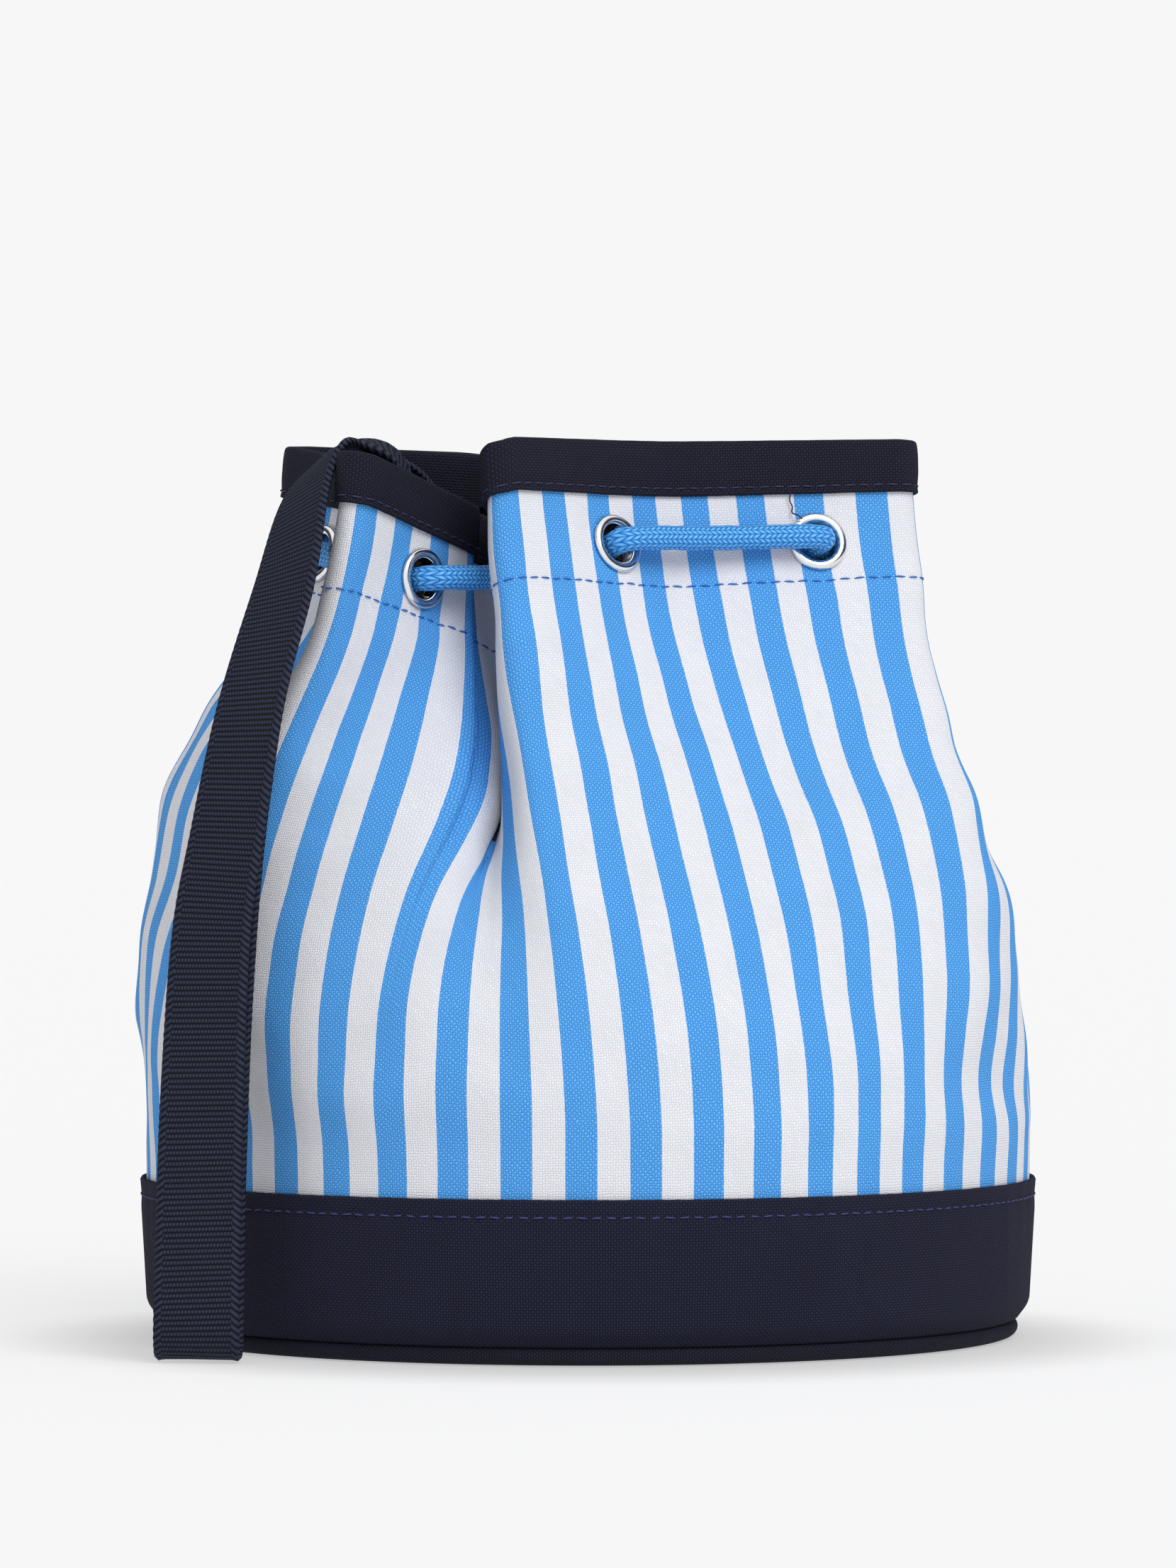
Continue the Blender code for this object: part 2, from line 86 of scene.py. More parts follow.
# Where the rim turns: stripe number, x, y and z of the cloth's edge,
# and half the cloth in the turn, in stripes.
RIM_TURNS = (
    (3.0, -0.0180, -0.0240, 0.1925, 0.50),
    (4.8, -0.0225, -0.0610, 0.2115, 0.38),
    (8.4, 0.0180, -0.0240, 0.2120, 1.30),
    (12.6, 0.0775, -0.0040, 0.2135, 0.45),
    (15.7, 0.0420, 0.0140, 0.2060, 0.55),
    (18.7, 0.0660, 0.0460, 0.2125, 0.60),
    (21.9, 0.0280, 0.0300, 0.2070, 0.60),
    (25.0, 0.0260, 0.0700, 0.2130, 0.60),
    (28.2, 0.0010, 0.0340, 0.2070, 0.60),
    (31.4, -0.0200, 0.0700, 0.2130, 0.60),
    (34.5, -0.0320, 0.0330, 0.2120, 0.60),
    (37.7, -0.0720, 0.0140, 0.2130, 0.45),
    (40.9, -0.0460, -0.0300, 0.2060, 0.60),
    (43.6, -0.0545, -0.0700, 0.2085, 0.40),
)

FINE_AROUND = 1081
FINE_UP = 93
COLUMNS_A_STRIPE = 12


# ---------------------------------------------------------------- the cloth's shape

def smooth_step(value):
    value = np.clip(value, 0.0, 1.0)
    return value * value * (3 - 2 * value)


def near(stripe, centre, width):
    """A bell of height 1 round one stripe number, which runs on past the last stripe to the first."""
    away = (stripe - centre + STRIPE_PAIRS / 2) % STRIPE_PAIRS - STRIPE_PAIRS / 2
    return np.exp(-((away / width) ** 2))


def rim_plan(stripes):
    """The rim seen from above: straight legs between folds, each fold an even turn of the cloth."""
    turns = np.array(RIM_TURNS)
    corners = turns[:, 1:3]
    legs = np.roll(corners, -1, axis=0) - corners
    headings = np.arctan2(legs[:, 1], legs[:, 0])
    heading = np.full(len(stripes), headings[-1])
    for (at, _, _, _, half), leaving, coming in zip(turns, headings, np.roll(headings, 1)):
        turn = (leaving - coming + math.pi) % (2 * math.pi) - math.pi
        heading = heading + turn * np.clip((stripes - at + half) / (2 * half), 0, 1)
    step = np.gradient(stripes)[:, None] * PITCH
    run = np.cumsum(np.stack([np.cos(heading), np.sin(heading)], axis=1) * step, axis=0)
    ends = np.append(turns[:, 0], turns[0, 0] + STRIPE_PAIRS)
    miss = np.empty((len(ends), 2))
    for row, at in enumerate(ends):
        for axis in range(2):
            reached = np.interp(at, stripes, run[:, axis])
            miss[row, axis] = corners[row % len(corners), axis] - reached
    for axis in range(2):
        run[:, axis] += np.interp(stripes, ends, miss[:, axis])
    return run


def rim_height(stripes):
    """The height of the cloth's edge, which dips where the rim folds in."""
    turns = np.array(RIM_TURNS)
    ends = np.concatenate([[turns[-1, 0] - STRIPE_PAIRS], turns[:, 0], [turns[0, 0] + STRIPE_PAIRS]])
    heights = np.concatenate([[turns[-1, 3]], turns[:, 3], [turns[0, 3]]])
    return sum(np.interp(stripes + shift, ends, heights) for shift in (-0.4, 0.0, 0.4)) / 3


def cloth_noise(stripes, heights, size, seed):
    """Soft unevenness of the cloth, the same where the last stripe meets the first."""
    angle = stripes * 2 * math.pi / STRIPE_PAIRS
    around = BASE_RADIUS / size
    field = np.empty((len(stripes), len(heights)))
    for i, turn in enumerate(angle):
        x, y = around * math.cos(turn), around * math.sin(turn)
        for j, height in enumerate(heights):
            field[i, j] = noise.noise(Vector((x + seed, y, height / size)))
    return field


def hump(share, centre, width):
    """A bump of height 1 in the cloth's height that is nothing at the foot and at the rim."""
    return math.exp(-((share - centre) / width) ** 2) * min(1.0, 12 * share, 8 * (1 - share))


def valley_fold(stripes):
    """How far the valley at the front is pushed in, and how far its two banks are pushed together."""
    away = (stripes - 3.1 + STRIPE_PAIRS / 2) % STRIPE_PAIRS - STRIPE_PAIRS / 2
    reach = np.where(away < 0, 0.0227, 0.0050)
    return near(stripes, 3.1, 0.9), -reach * away * np.exp(-((away / 1.1) ** 2))


def make_wall():
    """The outer face of the canvas on a fine grid, from its foot inside the band to its edge."""
    stripes = np.linspace(RIM_TURNS[0][0] - 1, RIM_TURNS[0][0] + 1 + STRIPE_PAIRS, FINE_AROUND)
    rim = rim_plan(stripes)
    angle = (stripes - FRONT_STRIPE) * 2 * math.pi / STRIPE_PAIRS
    out = np.stack([np.sin(angle), -np.cos(angle)], axis=1)
    base = BASE_RADIUS * out
    left = near(stripes, 36.5, 4.5)
    lobe = near(stripes, -0.6, 2.6)
    valley = near(stripes, 3.0, 1.6)
    side = near(stripes, 40.5, 5.0)
    right = near(stripes, 14.0, 2.2)
    fold, squeeze = valley_fold(stripes)
    sideways = np.stack([-out[:, 1], out[:, 0]], axis=1)
    up = np.linspace(0.0, 1.0, FINE_UP)
    plan = np.empty((FINE_AROUND, FINE_UP, 2))
    for row, share in enumerate(up):
        late = 0.08 + 0.16 * left + 0.06 * lobe + 0.06 * valley
        drawn = np.clip((share - late) / (1 - late), 0, 1)
        drawn = 0.7 * smooth_step(drawn) + 0.3 * drawn
        swell = 0.0035 * left + 0.0045 * lobe + 0.0015
        swell = swell * math.sin(math.pi * min(1.0, share / 0.62)) ** 2
        swell += 0.0095 * side * hump(share, 0.56, 0.16) + 0.0080 * right * hump(share, 0.43, 0.24)
        swell -= 0.0080 * fold * hump(share, 0.60, 0.20)
        shift = squeeze * hump(share, 0.60, 0.20)
        blend = drawn[:, None]
        plan[:, row] = (1 - blend) * (base + swell[:, None] * out) + blend * rim
        plan[:, row] += blend * swell[:, None] * out + shift[:, None] * sideways
    rise = CLOTH_HEIGHT / (FINE_UP - 1)
    across = np.linalg.norm(np.diff(plan, axis=1), axis=2)
    climb = np.sqrt(np.maximum(rise * rise - across * across, (0.2 * rise) ** 2))
    climb *= ((rim_height(stripes) - BAND_TOP) / climb.sum(axis=1))[:, None]
    height = BAND_TOP + np.concatenate([np.zeros((FINE_AROUND, 1)), np.cumsum(climb, axis=1)], axis=1)
    wall = np.dstack([plan, height])
    heights = up * CLOTH_HEIGHT
    below = np.linspace(-0.034, -0.002, 17)
    radius = BASE_RADIUS + BASE_TAPER * below
    foot = np.dstack([np.outer(out[:, 0], radius), np.outer(out[:, 1], radius),
                      np.tile(BAND_TOP + below, (FINE_AROUND, 1))])
    beyond = wall[:, -1:] + (wall[:, -1:] - wall[:, -3:-2]) * 0.9
    wall = np.concatenate([foot, wall, beyond], axis=1)
    heights = np.concatenate([below, heights, [CLOTH_HEIGHT + 1.8 * rise]])
    ease = smooth_step((heights - 0.004) / 0.02) * smooth_step((CLOTH_HEIGHT - 0.008 - heights) / 0.03)
    uneven = 0.0018 * cloth_noise(stripes, heights, 0.045, 3.7)
    uneven += 0.0007 * cloth_noise(stripes, heights, 0.017, 9.1)
    creased = 0.0008 + 0.0014 * right + 0.0007 * side
    uneven += creased[:, None] * cloth_noise(stripes, heights * 2.1, 0.038, 5.3)
    return stripes, heights, wall, uneven * ease


def grid_normals(wall):
    along = np.gradient(wall, axis=0)
    upward = np.gradient(wall, axis=1)
    normals = np.cross(along, upward)
    return normals / np.linalg.norm(normals, axis=2, keepdims=True)


WALL_STRIPES, WALL_HEIGHTS, WALL, UNEVEN = make_wall()
WALL_NORMALS = grid_normals(WALL)


def sample(grid, stripes, heights):
    """Values of a grid of the cloth at each pair of stripe number and height."""
    stripes, heights = np.broadcast_arrays(np.asarray(stripes, float), np.asarray(heights, float))
    stripes = (stripes - WALL_STRIPES[0]) % STRIPE_PAIRS + WALL_STRIPES[0]
    column = (stripes - WALL_STRIPES[0]) / (WALL_STRIPES[1] - WALL_STRIPES[0])
    row = np.interp(heights, WALL_HEIGHTS, np.arange(len(WALL_HEIGHTS)))
    i = np.clip(column.astype(int), 0, len(WALL_STRIPES) - 2)
    j = np.clip(row.astype(int), 0, len(WALL_HEIGHTS) - 2)
    a, b = (column - i)[..., None], (row - j)[..., None]
    low = grid[i, j] * (1 - a) + grid[i + 1, j] * a
    high = grid[i, j + 1] * (1 - a) + grid[i + 1, j + 1] * a
    return low * (1 - b) + high * b


def eyelet_place(stripe):
    """The middle of the cloth at an eyelet, and the direction out of it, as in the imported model."""
    height = CLOTH_HEIGHT - EYELET_DROP
    step = 0.003
    along = sample(WALL, stripe + 0.12, height) - sample(WALL, stripe - 0.12, height)
    upward = sample(WALL, stripe, height + step) - sample(WALL, stripe, height - step)
    outward = np.cross(along, upward)
    outward /= np.linalg.norm(outward)
    return sample(WALL, stripe, height) - outward * CLOTH / 2, outward


EYELET_PLACES = [eyelet_place(stripe) for stripe in EYELETS]


def seat_eyelets(wall):
    """The cloth drawn flat under each eyelet, where its flange and its washer grip it."""
    wall = wall.copy()
    for place, outward in EYELET_PLACES:
        face = place + outward * CLOTH / 2
        away = wall - face
        rise = away @ outward
        across = np.linalg.norm(away - rise[..., None] * outward, axis=2)
        grip = 1 - smooth_step((across - 0.0078) / 0.0060)
        grip = np.where(np.abs(rise) < 0.006, grip, 0)
        wall -= (grip * rise)[..., None] * outward
    return wall


WALL = seat_eyelets(WALL + UNEVEN[..., None] * WALL_NORMALS)
WALL_NORMALS = grid_normals(WALL)


def cloth_at(stripes, heights, offsets):
    lift = np.asarray(offsets, float)[..., None] * sample(WALL_NORMALS, stripes, heights)
    return sample(WALL, stripes, heights) + lift


# ---------------------------------------------------------------- mesh helpers

def deselect():
    for each in bpy.context.selected_objects:
        each.select_set(False)


def grid_object(name, points, across, along, wrap_across=False, wrap_along=False, keep=None):
    """A sheet of quads through a grid of points, with a UV map in the units that the cloth is woven in."""
    columns, rows = points.shape[:2]
    last_column = columns if wrap_across else columns - 1
    last_row = rows if wrap_along else rows - 1
    i, j = np.meshgrid(np.arange(last_column), np.arange(last_row), indexing="ij")
    if keep is not None:
        i, j = i[keep], j[keep]
    i, j = i.ravel(), j.ravel()
    right, above = (i + 1) % columns, (j + 1) % rows
    faces = np.stack([i * rows + j, right * rows + j, right * rows + above, i * rows + above], axis=1)
    mesh = bpy.data.meshes.new(name)
    mesh.from_pydata(points.reshape(-1, 3).tolist(), [], faces.tolist())
    layer = mesh.uv_layers.new(name="cloth")
    u = np.stack([across[i], across[i + 1], across[i + 1], across[i]], axis=1)
    v = np.stack([along[j], along[j], along[j + 1], along[j + 1]], axis=1)
    layer.data.foreach_set("uv", np.stack([u, v], axis=2).ravel())
    mesh.update()
    mesh.shade_smooth()
    made = bpy.data.objects.new(name, mesh)
    bpy.context.scene.collection.objects.link(made)
    return made


def drop_loose(piece):
    """Removes the points that no face uses, which a hole in the sheet leaves behind."""
    deselect()
    bpy.context.view_layer.objects.active = piece
    piece.select_set(True)
    bpy.ops.object.mode_set(mode="EDIT")
    bpy.ops.mesh.select_all(action="SELECT")
    bpy.ops.mesh.delete_loose()
    bpy.ops.object.mode_set(mode="OBJECT")


def thicken(piece, thickness, offset=-1.0):
    """A wall of the stated thickness; offset -1 keeps the face that is there as the outer one."""
    deselect()
    bpy.context.view_layer.objects.active = piece
    piece.select_set(True)
    wall = piece.modifiers.new("wall", "SOLIDIFY")
    wall.thickness = thickness
    wall.offset = offset
    wall.use_rim = True
    bpy.ops.object.modifier_apply(modifier=wall.name)


def finish_piece(piece, material, body="bag", replaces=()):
    piece.data.materials.clear()
    piece.data.materials.append(material)
    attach(piece, body)
    if replaces:
        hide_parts(*replaces)
    return piece


def smooth_route(points, spacing):
    """Points at an even spacing along one smooth curve through the given ones."""
    knots = np.array(points, float)
    knots = np.concatenate([[2 * knots[0] - knots[1]], knots, [2 * knots[-1] - knots[-2]]])
    fine = []
    for a, b, c, d in zip(knots, knots[1:], knots[2:], knots[3:]):
        for part in range(12):
            t = part / 12
            fine.append(0.5 * (2 * b + (c - a) * t + (2 * a - 5 * b + 4 * c - d) * t * t
                               + (3 * b - a - 3 * c + d) * t * t * t))
    fine = np.array([*fine, knots[-2]])
    run = np.concatenate([[0], np.cumsum(np.linalg.norm(np.diff(fine, axis=0), axis=1))])
    wanted = np.linspace(0, run[-1], max(3, round(run[-1] / spacing) + 1))
    return np.stack([np.interp(wanted, run, fine[:, axis]) for axis in range(3)], axis=1)


def eased(route, passes):
    """The same route with its tight places rounded and its ends kept."""
    route = route.copy()
    for _ in range(passes):
        route[1:-1] = 0.25 * route[:-2] + 0.5 * route[1:-1] + 0.25 * route[2:]
    return route


def carried_frames(route):
    """Two directions square to the route at each point, carried along it without a twist."""
    ahead = np.gradient(route, axis=0)
    ahead /= np.linalg.norm(ahead, axis=1, keepdims=True)
    side = np.cross(ahead[0], (0.0, 0.0, 1.0))
    if np.linalg.norm(side) < 0.1:
        side = np.cross(ahead[0], (0.0, 1.0, 0.0))
    sides = []
    for direction in ahead:
        side = side - direction * (side @ direction)
        side = side / np.linalg.norm(side)
        sides.append(side)
    sides = np.array(sides)
    return sides, np.cross(ahead, sides)


# ---------------------------------------------------------------- node helpers

class Shader:
    """A short way to lay out the nodes of one material or group."""

    def __init__(self, tree):
        self.tree = tree

    def add(self, kind, inputs=(), **settings):
        node = self.tree.nodes.new(kind)
        for key, value in settings.items():
            setattr(node, key, value)
        for socket, value in dict(inputs).items():
            self.feed(node.inputs[socket], value)
        return node

    def feed(self, socket, value):
        if isinstance(value, bpy.types.NodeSocket):
            self.tree.links.new(value, socket)
        elif value is not None:
            socket.default_value = value

    def math(self, operation, first, second=None, third=None, clamp=False):
        node = self.add("ShaderNodeMath", {0: first, 1: second, 2: third},
                        operation=operation, use_clamp=clamp)
        return node.outputs[0]

    def ramp(self, value, low, high):
        """0 at or under low, 1 at or over high, and smooth between."""
        node = self.add("ShaderNodeMapRange", {"Value": value, "From Min": low, "From Max": high},
                        interpolation_type="SMOOTHSTEP")
        return node.outputs[0]

    def mix(self, share, first, second):
        node = self.add("ShaderNodeMix", data_type="RGBA")
        self.feed(node.inputs[0], share)
        self.feed(node.inputs[6], first)
        self.feed(node.inputs[7], second)
        return node.outputs[2]

    def noise(self, vector, scale, detail=2.0, roughness=0.5):
        node = self.add("ShaderNodeTexNoise", {"Vector": vector, "Scale": scale, "Detail": detail,
                                               "Roughness": roughness})
        return node.outputs[0]


def new_material(name, roughness, metallic=0.0, specular=0.2):
    material = bpy.data.materials.new(name)
    material.use_nodes = True
    shader = material.node_tree.nodes["Principled BSDF"]
    shader.inputs["Roughness"].default_value = roughness
    shader.inputs["Metallic"].default_value = metallic
    shader.inputs["Specular IOR Level"].default_value = specular
    return material, Shader(material.node_tree), shader


def new_group(name, inputs, outputs):
    tree = bpy.data.node_groups.new(name, "ShaderNodeTree")
    for label, kind in inputs:
        tree.interface.new_socket(label, in_out="INPUT", socket_type=kind)
    for label, kind in outputs:
        tree.interface.new_socket(label, in_out="OUTPUT", socket_type=kind)
    kit = Shader(tree)
    return tree, kit, kit.add("NodeGroupInput"), kit.add("NodeGroupOutput")


def weave_group():
    """A plain weave: threads that pass over and under each other, a little uneven."""
    tree, kit, given, result = new_group(
        "plain_weave",
        (("Cloth", "NodeSocketVector"), ("Threads", "NodeSocketFloat"), ("Unevenness", "NodeSocketFloat")),
        (("Height", "NodeSocketFloat"), ("Over", "NodeSocketFloat")))
    drift = kit.add("ShaderNodeTexNoise", {"Vector": given.outputs["Cloth"], "Scale": 7.0, "Detail": 1.0})
    pull = kit.math("MULTIPLY", kit.math("SUBTRACT", drift.outputs[0], 0.5), given.outputs["Unevenness"])
    parts = kit.add("ShaderNodeSeparateXYZ", {0: given.outputs["Cloth"]})
    across = kit.math("MULTIPLY", kit.math("ADD", parts.outputs[0], pull), given.outputs["Threads"])
    along = kit.math("MULTIPLY", kit.math("ADD", parts.outputs[1], pull), given.outputs["Threads"])
    warp = kit.math("ABSOLUTE", kit.math("SINE", kit.math("MULTIPLY", across, math.pi)))
    weft = kit.math("ABSOLUTE", kit.math("SINE", kit.math("MULTIPLY", along, math.pi)))
    cell = kit.math("ADD", kit.math("FLOOR", across), kit.math("FLOOR", along))
    over = kit.math("ABSOLUTE", kit.math("MODULO", cell, 2.0))
    warp_up = kit.math("MULTIPLY", kit.math("POWER", warp, 0.7), kit.math("POWER", weft, 0.35))
    weft_up = kit.math("MULTIPLY", kit.math("POWER", weft, 0.7), kit.math("POWER", warp, 0.35))
    height = kit.math("ADD", kit.math("MULTIPLY", warp_up, over),
                      kit.math("MULTIPLY", kit.math("MULTIPLY", weft_up, 0.86),
                               kit.math("SUBTRACT", 1.0, over)))
    kit.feed(result.inputs["Height"], height)
    kit.feed(result.inputs["Over"], over)
    return tree


def use_group(kit, tree, inputs):
    node = kit.add("ShaderNodeGroup", node_tree=tree)
    for label, value in inputs.items():
        kit.feed(node.inputs[label], value)
    return node


def set_bump(kit, shader, height, strength, distance):
    bump = kit.add("ShaderNodeBump", {"Height": height, "Strength": strength, "Distance": distance})
    kit.feed(shader.inputs["Normal"], bump.outputs[0])


# ---------------------------------------------------------------- materials

THREADS_A_STRIPE = 25.0


def striped_canvas(weave):
    material, kit, shader = new_material("striped_canvas", 0.9)
    cloth = kit.add("ShaderNodeUVMap", uv_map="cloth").outputs[0]
    parts = kit.add("ShaderNodeSeparateXYZ", {0: cloth})
    woven = use_group(kit, weave, {"Cloth": cloth, "Threads": THREADS_A_STRIPE, "Unevenness": 0.05})
    waver = kit.math("MULTIPLY", kit.math("SUBTRACT", kit.noise(cloth, 9.0), 0.5), 0.016)
    drift = kit.add("ShaderNodeAttribute", attribute_name="stripe_drift").outputs["Fac"]
    place = kit.math("ADD", kit.math("ADD", parts.outputs[0], waver), drift)
    middle = kit.math("ABSOLUTE", kit.math("SUBTRACT", kit.math("FRACT", kit.math("ADD", place, 0.5)), 0.5))
    stripe = kit.math("SUBTRACT", 1.0, kit.ramp(middle, 0.240, 0.252))
    fibre = kit.noise(cloth, 46.0, 3.0, 0.7)
    broad = kit.noise(cloth, 1.3, 2.0)
    # Painted shade and highlight on the weave: the blue and the white are darker in the gaps between threads
    # and lighter on the thread tops, over the threads' own tone and fibre.
    warp_lift = kit.math("ADD", kit.math("MULTIPLY", woven.outputs["Over"], 0.45), 0.62)
    nub_shade_and_tone = kit.math("MULTIPLY", woven.outputs["Height"], warp_lift)
    nub_shade_and_tone = kit.math("ADD", nub_shade_and_tone, kit.math("MULTIPLY", kit.math("SUBTRACT", fibre, 0.5), 0.55), clamp=True)
    blue = kit.mix(nub_shade_and_tone, (0.019, 0.192, 0.640, 1), (0.155, 0.485, 0.870, 1))
    white = kit.mix(nub_shade_and_tone, (0.66, 0.67, 0.73, 1), (0.82, 0.83, 0.87, 1))
    colour = kit.mix(stripe, white, blue)
    shade = kit.math("MULTIPLY", kit.math("SUBTRACT", broad, 0.5), 0.10)
    tone = kit.add("ShaderNodeHueSaturation", {"Color": colour, "Value": kit.math("ADD", 1.0, shade)})
    kit.feed(shader.inputs["Base Color"], tone.outputs[0])
    relief = kit.math("ADD", woven.outputs["Height"], kit.math("MULTIPLY", fibre, 0.5))
    set_bump(kit, shader, relief, 0.80, 0.00018)
    return material


def plain_canvas(name, weave, dark, light, threads=1 / 0.00062, fleck=0.0, roughness=0.88):
    """One-colour canvas on a UV map in metres."""
    material, kit, shader = new_material(name, roughness)
    cloth = kit.add("ShaderNodeUVMap", uv_map="cloth").outputs[0]
    woven = use_group(kit, weave, {"Cloth": cloth, "Threads": threads, "Unevenness": 0.0004})
    fibre = kit.noise(cloth, 2600.0, 3.0, 0.7)
    broad = kit.noise(cloth, 60.0, 2.0)
    warp_lift = kit.math("ADD", kit.math("MULTIPLY", woven.outputs["Over"], 0.5), 0.5)
    nub_shade_and_tone = kit.math("MULTIPLY", woven.outputs["Height"], warp_lift)
    # Painted shade and highlight: darker in the gaps between threads and lighter on their tops, over the
    # warp's and weft's own tones; the pale flecks are the fibres' own colour.
    colour = kit.mix(nub_shade_and_tone, (*dark, 1), (*light, 1))
    flecks = kit.math("MULTIPLY", kit.ramp(fibre, 0.55, 0.80), fleck)
    colour = kit.mix(flecks, colour, (0.085, 0.090, 0.150, 1))
    shade = kit.math("MULTIPLY", kit.math("SUBTRACT", broad, 0.5), 0.30)
    tone = kit.add("ShaderNodeHueSaturation", {"Color": colour, "Value": kit.math("ADD", 1.0, shade)})
    kit.feed(shader.inputs["Base Color"], tone.outputs[0])
    relief = kit.math("ADD", woven.outputs["Height"], kit.math("MULTIPLY", fibre, 0.6))
    set_bump(kit, shader, relief, 1.0, 0.00030)
    return material


def webbing_material():
    """Ribbed webbing: rows of small nodules across its width, and a chain of stitches along each edge."""
    material, kit, shader = new_material("navy_webbing", 0.70)
    cloth = kit.add("ShaderNodeUVMap", uv_map="cloth").outputs[0]
    parts = kit.add("ShaderNodeSeparateXYZ", {0: cloth})
    across, along = parts.outputs[0], parts.outputs[1]
    rows = kit.math("ADD", kit.math("MULTIPLY", along, 1 / 0.00125), kit.math("MULTIPLY", across, 45.0))
    row = kit.math("FLOOR", rows)
    lean = kit.math("MULTIPLY", kit.math("MODULO", row, 2.0), 0.5)
    knobs = kit.math("ADD", kit.math("MULTIPLY", across, 1 / 0.00080), lean)
    ridge = kit.math("ABSOLUTE", kit.math("SINE", kit.math("MULTIPLY", rows, math.pi)))
    knob = kit.math("ABSOLUTE", kit.math("SINE", kit.math("MULTIPLY", knobs, math.pi)))
    body = kit.math("MULTIPLY", ridge, kit.math("ADD", kit.math("MULTIPLY", knob, 0.6), 0.4))
    from_middle = kit.math("ABSOLUTE", across)
    edge = kit.ramp(from_middle, STRAP_WIDTH / 2 - 0.0021, STRAP_WIDTH / 2 - 0.0017)
    slant = kit.math("SUBTRACT", kit.math("MULTIPLY", along, 1 / 0.0016),
                     kit.math("MULTIPLY", from_middle, 420.0))
    chain = kit.math("ABSOLUTE", kit.math("SINE", kit.math("MULTIPLY", slant, math.pi)))
    height = kit.math("ADD", kit.math("MULTIPLY", body, kit.math("SUBTRACT", 1.0, edge)),
                      kit.math("MULTIPLY", kit.math("MULTIPLY", chain, 0.8), edge))
    fibre = kit.noise(cloth, 3000.0, 3.0, 0.7)
    # Painted shade and highlight: darker in the grooves between ribs and nodules and lighter on their tops;
    # the pale flecks are loose fibres.
    colour = kit.mix(kit.ramp(height, 0.15, 0.95), (0.0012, 0.0017, 0.006, 1), (0.026, 0.032, 0.064, 1))
    colour = kit.mix(kit.math("MULTIPLY", kit.ramp(fibre, 0.58, 0.85), 0.5), colour, (0.075, 0.095, 0.16, 1))
    kit.feed(shader.inputs["Base Color"], colour)
    set_bump(kit, shader, kit.math("ADD", height, kit.math("MULTIPLY", fibre, 0.15)), 1.0, 0.00042)
    return material


def cord_material():
    """Braided cord on a UV map of turns round it and metres along it: rows of strands that lean in turn."""
    material, kit, shader = new_material("blue_cord", 0.48, specular=0.35)
    cloth = kit.add("ShaderNodeUVMap", uv_map="cloth").outputs[0]
    parts = kit.add("ShaderNodeSeparateXYZ", {0: cloth})
    rows = kit.math("MULTIPLY", parts.outputs[0], BRAID_ROWS)
    odd_row = kit.math("MODULO", kit.math("FLOOR", rows), 2.0)
    lean = kit.math("SUBTRACT", 1.0, kit.math("MULTIPLY", odd_row, 2.0))
    middle = kit.math("SUBTRACT", kit.math("FRACT", rows), 0.5)
    wide = kit.add("ShaderNodeMapping", {"Vector": cloth, "Scale": (9.0, 900.0, 1.0)}).outputs[0]
    waver = kit.math("MULTIPLY", kit.math("SUBTRACT", kit.noise(wide, 0.35), 0.5), 0.5)
    steps = kit.math("ADD", kit.math("MULTIPLY", parts.outputs[1], 1 / BRAID_STEP), waver)
    phase = kit.math("ADD", steps, kit.math("MULTIPLY", lean, kit.math("MULTIPLY", middle, 0.85)))
    wave = kit.math("ABSOLUTE", kit.math("SINE", kit.math("MULTIPLY", phase, math.pi)))
    strand = kit.math("POWER", wave, 0.55)
    across = kit.math("POWER", kit.math("COSINE", kit.math("MULTIPLY", middle, math.pi * 0.96)), 0.45)
    height = kit.math("MULTIPLY", strand, across)
    fibre = kit.noise(wide, 4.0, 2.0, 0.6)
    # Painted shade in the grooves between strands, and a painted highlight (shine) on the strand crests.
    colour = kit.mix(kit.ramp(height, 0.12, 0.70), (0.008, 0.115, 0.480, 1), (0.055, 0.340, 0.800, 1))
    shine = kit.math("MULTIPLY", kit.ramp(height, 0.70, 1.0), kit.math("ADD", fibre, 0.15))
    colour = kit.mix(shine, colour, (0.24, 0.58, 0.93, 1))
    kit.feed(shader.inputs["Base Color"], colour)
    set_bump(kit, shader, kit.math("ADD", height, kit.math("MULTIPLY", fibre, 0.12)), 1.0, 0.00030)
    return material


def thread_material(name, colour, light):
    material, kit, shader = new_material(name, 0.55)
    place = kit.add("ShaderNodeTexCoord").outputs["Object"]
    fibre = kit.noise(place, 2200.0, 2.0)
    kit.feed(shader.inputs["Base Color"], kit.mix(fibre, (*colour, 1), (*light, 1)))
    set_bump(kit, shader, fibre, 0.6, 0.0001)
    return material


def metal_material():
    """Polished silver with the faint marks of a pressing."""
    material, kit, shader = new_material("silver_metal", 0.14, metallic=1.0, specular=0.5)
    place = kit.add("ShaderNodeTexCoord").outputs["Object"]
    smear = kit.noise(place, 300.0, 3.0)
    marks = kit.noise(place, 2500.0, 2.0)
    kit.feed(shader.inputs["Base Color"], kit.mix(smear, (0.74, 0.74, 0.76, 1), (0.90, 0.90, 0.91, 1)))
    kit.feed(shader.inputs["Roughness"], kit.math("ADD", kit.math("MULTIPLY", smear, 0.16), 0.05))
    set_bump(kit, shader, marks, 0.12, 0.00006)
    return material


def board_material():
    material, kit, shader = new_material("base_board", 0.9)
    place = kit.add("ShaderNodeTexCoord").outputs["Object"]
    grain = kit.noise(place, 900.0, 4.0)
    kit.feed(shader.inputs["Base Color"], kit.mix(grain, (0.20, 0.17, 0.13, 1), (0.36, 0.32, 0.26, 1)))
    set_bump(kit, shader, grain, 0.4, 0.0002)
    return material


